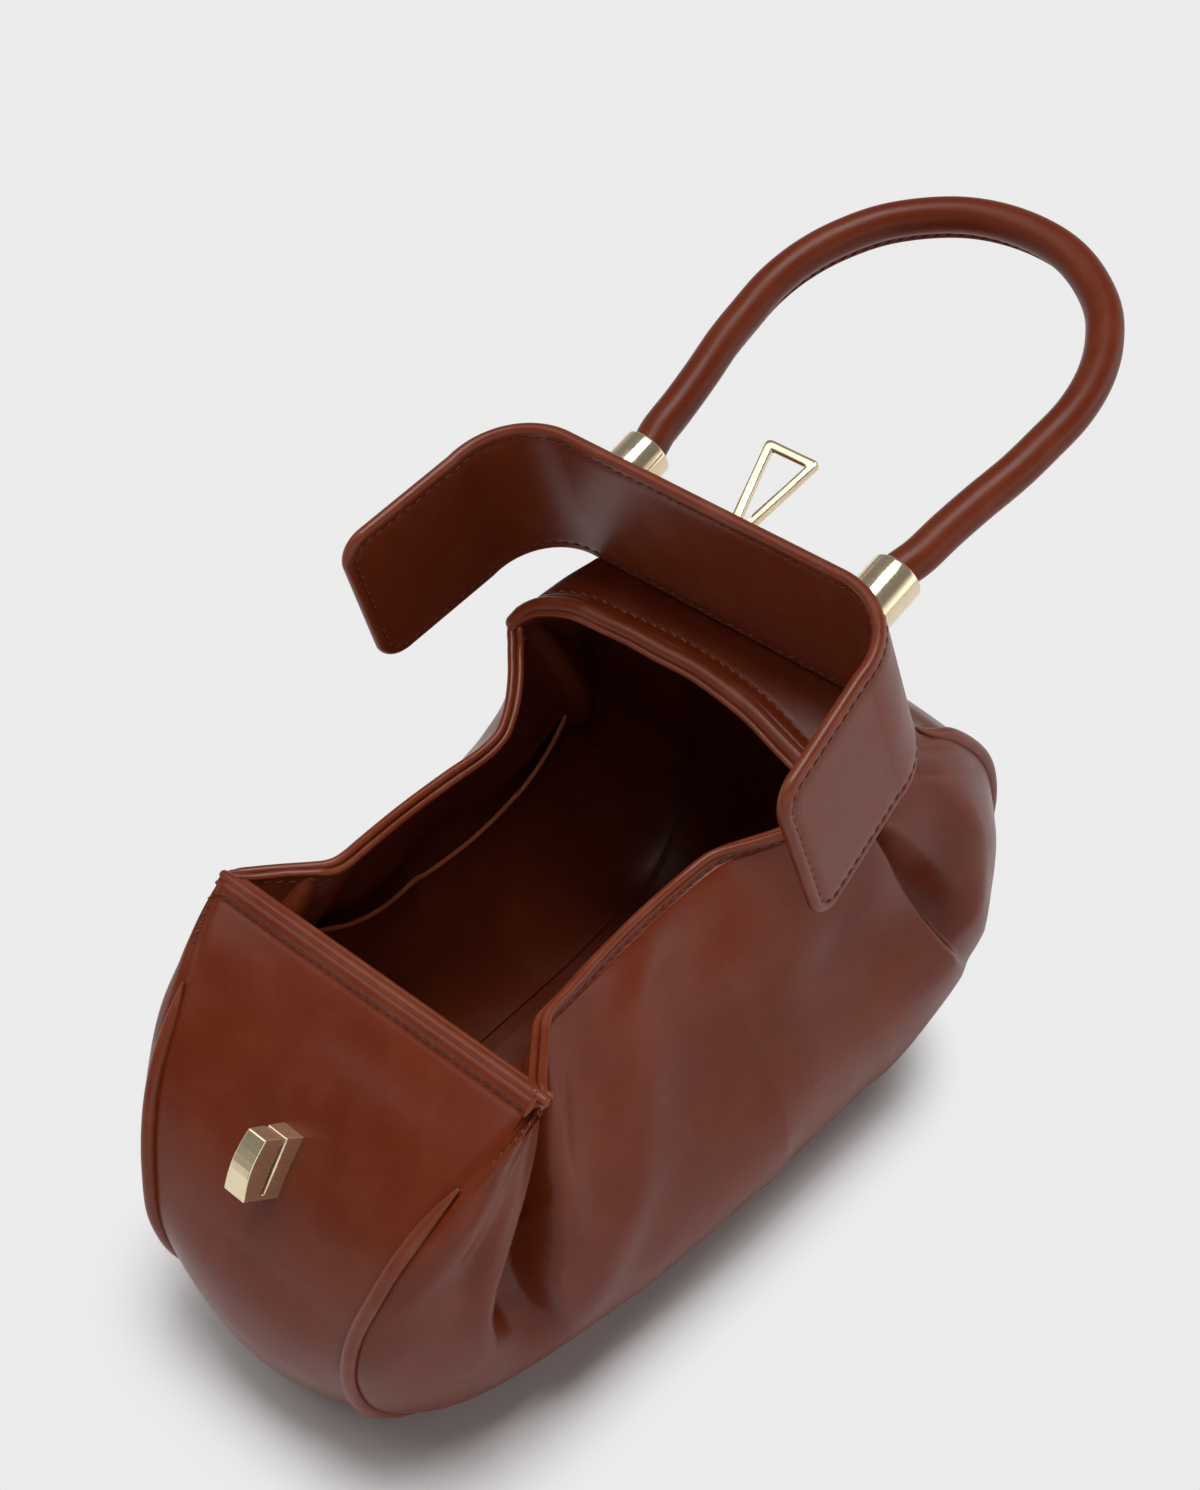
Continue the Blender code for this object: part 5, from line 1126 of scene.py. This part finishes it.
corner_rows = [k for k in range(ROWS) if 6.0 * MM < along_seam[k] < 22.0 * MM]
for (side_name, turn), slant in zip(SIDES, (38.0, -38.0)):
    made = sides[side_name]
    line = np.array([at_lengths(made["outer"][k], 1.5 * MM) for k in corner_rows])
    stitch_run("stitches_corner_" + side_name, turn(line), turn(made["normals"][corner_rows, 8]), stitch_thread,
               pitch=2.6 * MM, length=1.7 * MM, radius=0.26 * MM, slant=slant, lift=0.2 * MM)


# Hinge leather: turns from the back of the strip onto the lid

HINGE_HALF_THICK = 0.5 * MM
path = np.array([(81.2, 150.0), (79.6, 156.0), (77.9, 161.0), (76.9, 163.6), (76.35, 166.2), (75.2, 169.8),
                 (73.6, 174.6)]) * MM
path = smooth_path(np.insert(path, 0, 0.0, axis=1), 33)
half = np.interp(np.linspace(0, 1, 33), [0, 0.45, 1], [49.0, 48.4, 47.0]) * MM
grid = np.repeat(path[:, None], 41, axis=1)
grid[..., 0] = half[:, None] * np.linspace(-1, 1, 41)
normals = normals_toward(grid, (0.0, 1.0, 0.0))
piece = shell("leather_hinge", grid + normals * HINGE_HALF_THICK, grid - normals * HINGE_HALF_THICK, body_leather,
              body=None)
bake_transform(piece)


# Camera, lights and floor, solved from the photo

FOCAL_PIXELS = 2300.0
PHOTO_PIXELS = 1490.0


def place(name, data, location, target=None):
    """Put an object in the scene, aimed at a target where one is given."""
    item = bpy.data.objects.new(name, data)
    bpy.context.scene.collection.objects.link(item)
    item.location = location
    if target:
        item.rotation_euler = (Vector(target) - Vector(location)).to_track_quat("-Z", "Y").to_euler()
    return item


def area_light(name, location, target, size, power):
    data = bpy.data.lights.new(name, "AREA")
    data.shape = "SQUARE"
    data.size = size
    data.energy = power
    place(name, data, location, target)


camera_data = bpy.data.cameras.new("camera")
camera = place("camera", camera_data, (0.31302, -0.33054, 0.56381))
camera.rotation_euler = (math.radians(90 - 41.1356), 0.0, math.radians(41.8348))
camera_data.sensor_fit = "AUTO"
camera_data.sensor_width = 36.0
camera_data.lens = FOCAL_PIXELS * 36.0 / PHOTO_PIXELS
camera_data.clip_start = 0.01
bpy.context.scene.camera = camera

area_light("overhead", (0.0, 0.2, 5.0), (0.0, 0.0, 0.05), 2.4, 160.0)
area_light("key", (-1.54, -0.90, 2.70), (0.0, 0.1, 0.15), 2.2, 24.0)

# A narrow spot through the mouth, onto the pocket
spot_data = bpy.data.lights.new("snoot", "SPOT")
spot_data.energy = 10.0
spot_data.color = (1.0, 0.94, 0.88)
spot_data.spot_size = math.radians(5.6)
spot_data.spot_blend = 0.7
spot_data.shadow_soft_size = 0.04
place("snoot", spot_data, (0.618, -0.666, 1.217), (-0.063, 0.015, 0.070)).visible_camera = False

# White paper: it takes the bag's shadow near the bag and glows evenly for the camera further out
FOOTPRINT_MIDDLE = (0.0, -0.0065, 0.0)
FOOTPRINT_HALF = (0.025, 0.0825, 0.0)
floor_data = bpy.data.meshes.new("floor")
floor_data.from_pydata([(-6, -6, 0), (6, -6, 0), (6, 6, 0), (-6, 6, 0)], [], [(0, 1, 2, 3)])
n = Nodes(bpy.data.materials.new("studio_floor"))
coords = n.coords()
paper = n.mix(n.noise(coords, 900.0, 4.0), (0.83, 0.83, 0.835), (0.85, 0.85, 0.855))
n.fill(n.shader, {"Base Color": paper, "Roughness": 0.9, "Specular IOR Level": 0.1})
beyond = n.vector("SUBTRACT", n.vector("ABSOLUTE", n.vector("SUBTRACT", coords, FOOTPRINT_MIDDLE)), FOOTPRINT_HALF)
clear = n.vector("MAXIMUM", beyond, (0.0, 0.0, 0.0))
distance = n.add("ShaderNodeVectorMath", {0: clear}, operation="LENGTH").outputs["Value"]
seen = n.add("ShaderNodeLightPath").outputs["Is Camera Ray"]
glow = n.add("ShaderNodeEmission", {"Color": (0.838, 0.835, 0.835)}).outputs["Emission"]
surface = n.add("ShaderNodeMixShader", {"Fac": n.math("MULTIPLY", n.span(distance, 0.031, 0.062), seen),
                                        1: n.shader.outputs["BSDF"], 2: glow})
n.fill(n.tree.nodes["Material Output"], {"Surface": surface.outputs["Shader"]})
floor_data.materials.append(n.owner)
place("floor", floor_data, (0.0, 0.0, 0.0))

# A soft band of light round the horizon, brighter to the right and behind
world = bpy.data.worlds.new("studio")
bpy.context.scene.world = world
n = Nodes(world)
heading = n.add("ShaderNodeTexCoord").outputs["Generated"]
heading = n.add("ShaderNodeSeparateXYZ", {"Vector": heading}).outputs
band = n.math("MULTIPLY", n.span(heading["Z"], 0.10, 0.55, 1.0, 0.0), n.span(heading["Y"], 0.35, 0.75, 1.0, 1.7))
card = n.span(heading["X"], 0.0, 0.75, 0.20, 1.25)
n.fill(n.tree.nodes["Background"], {"Color": (1.0, 0.985, 0.97),
                                    "Strength": n.math("MULTIPLY_ADD", band, card, 0.085)})
bpy.context.scene.view_settings.view_transform = "Standard"

bpy.context.view_layer.update()
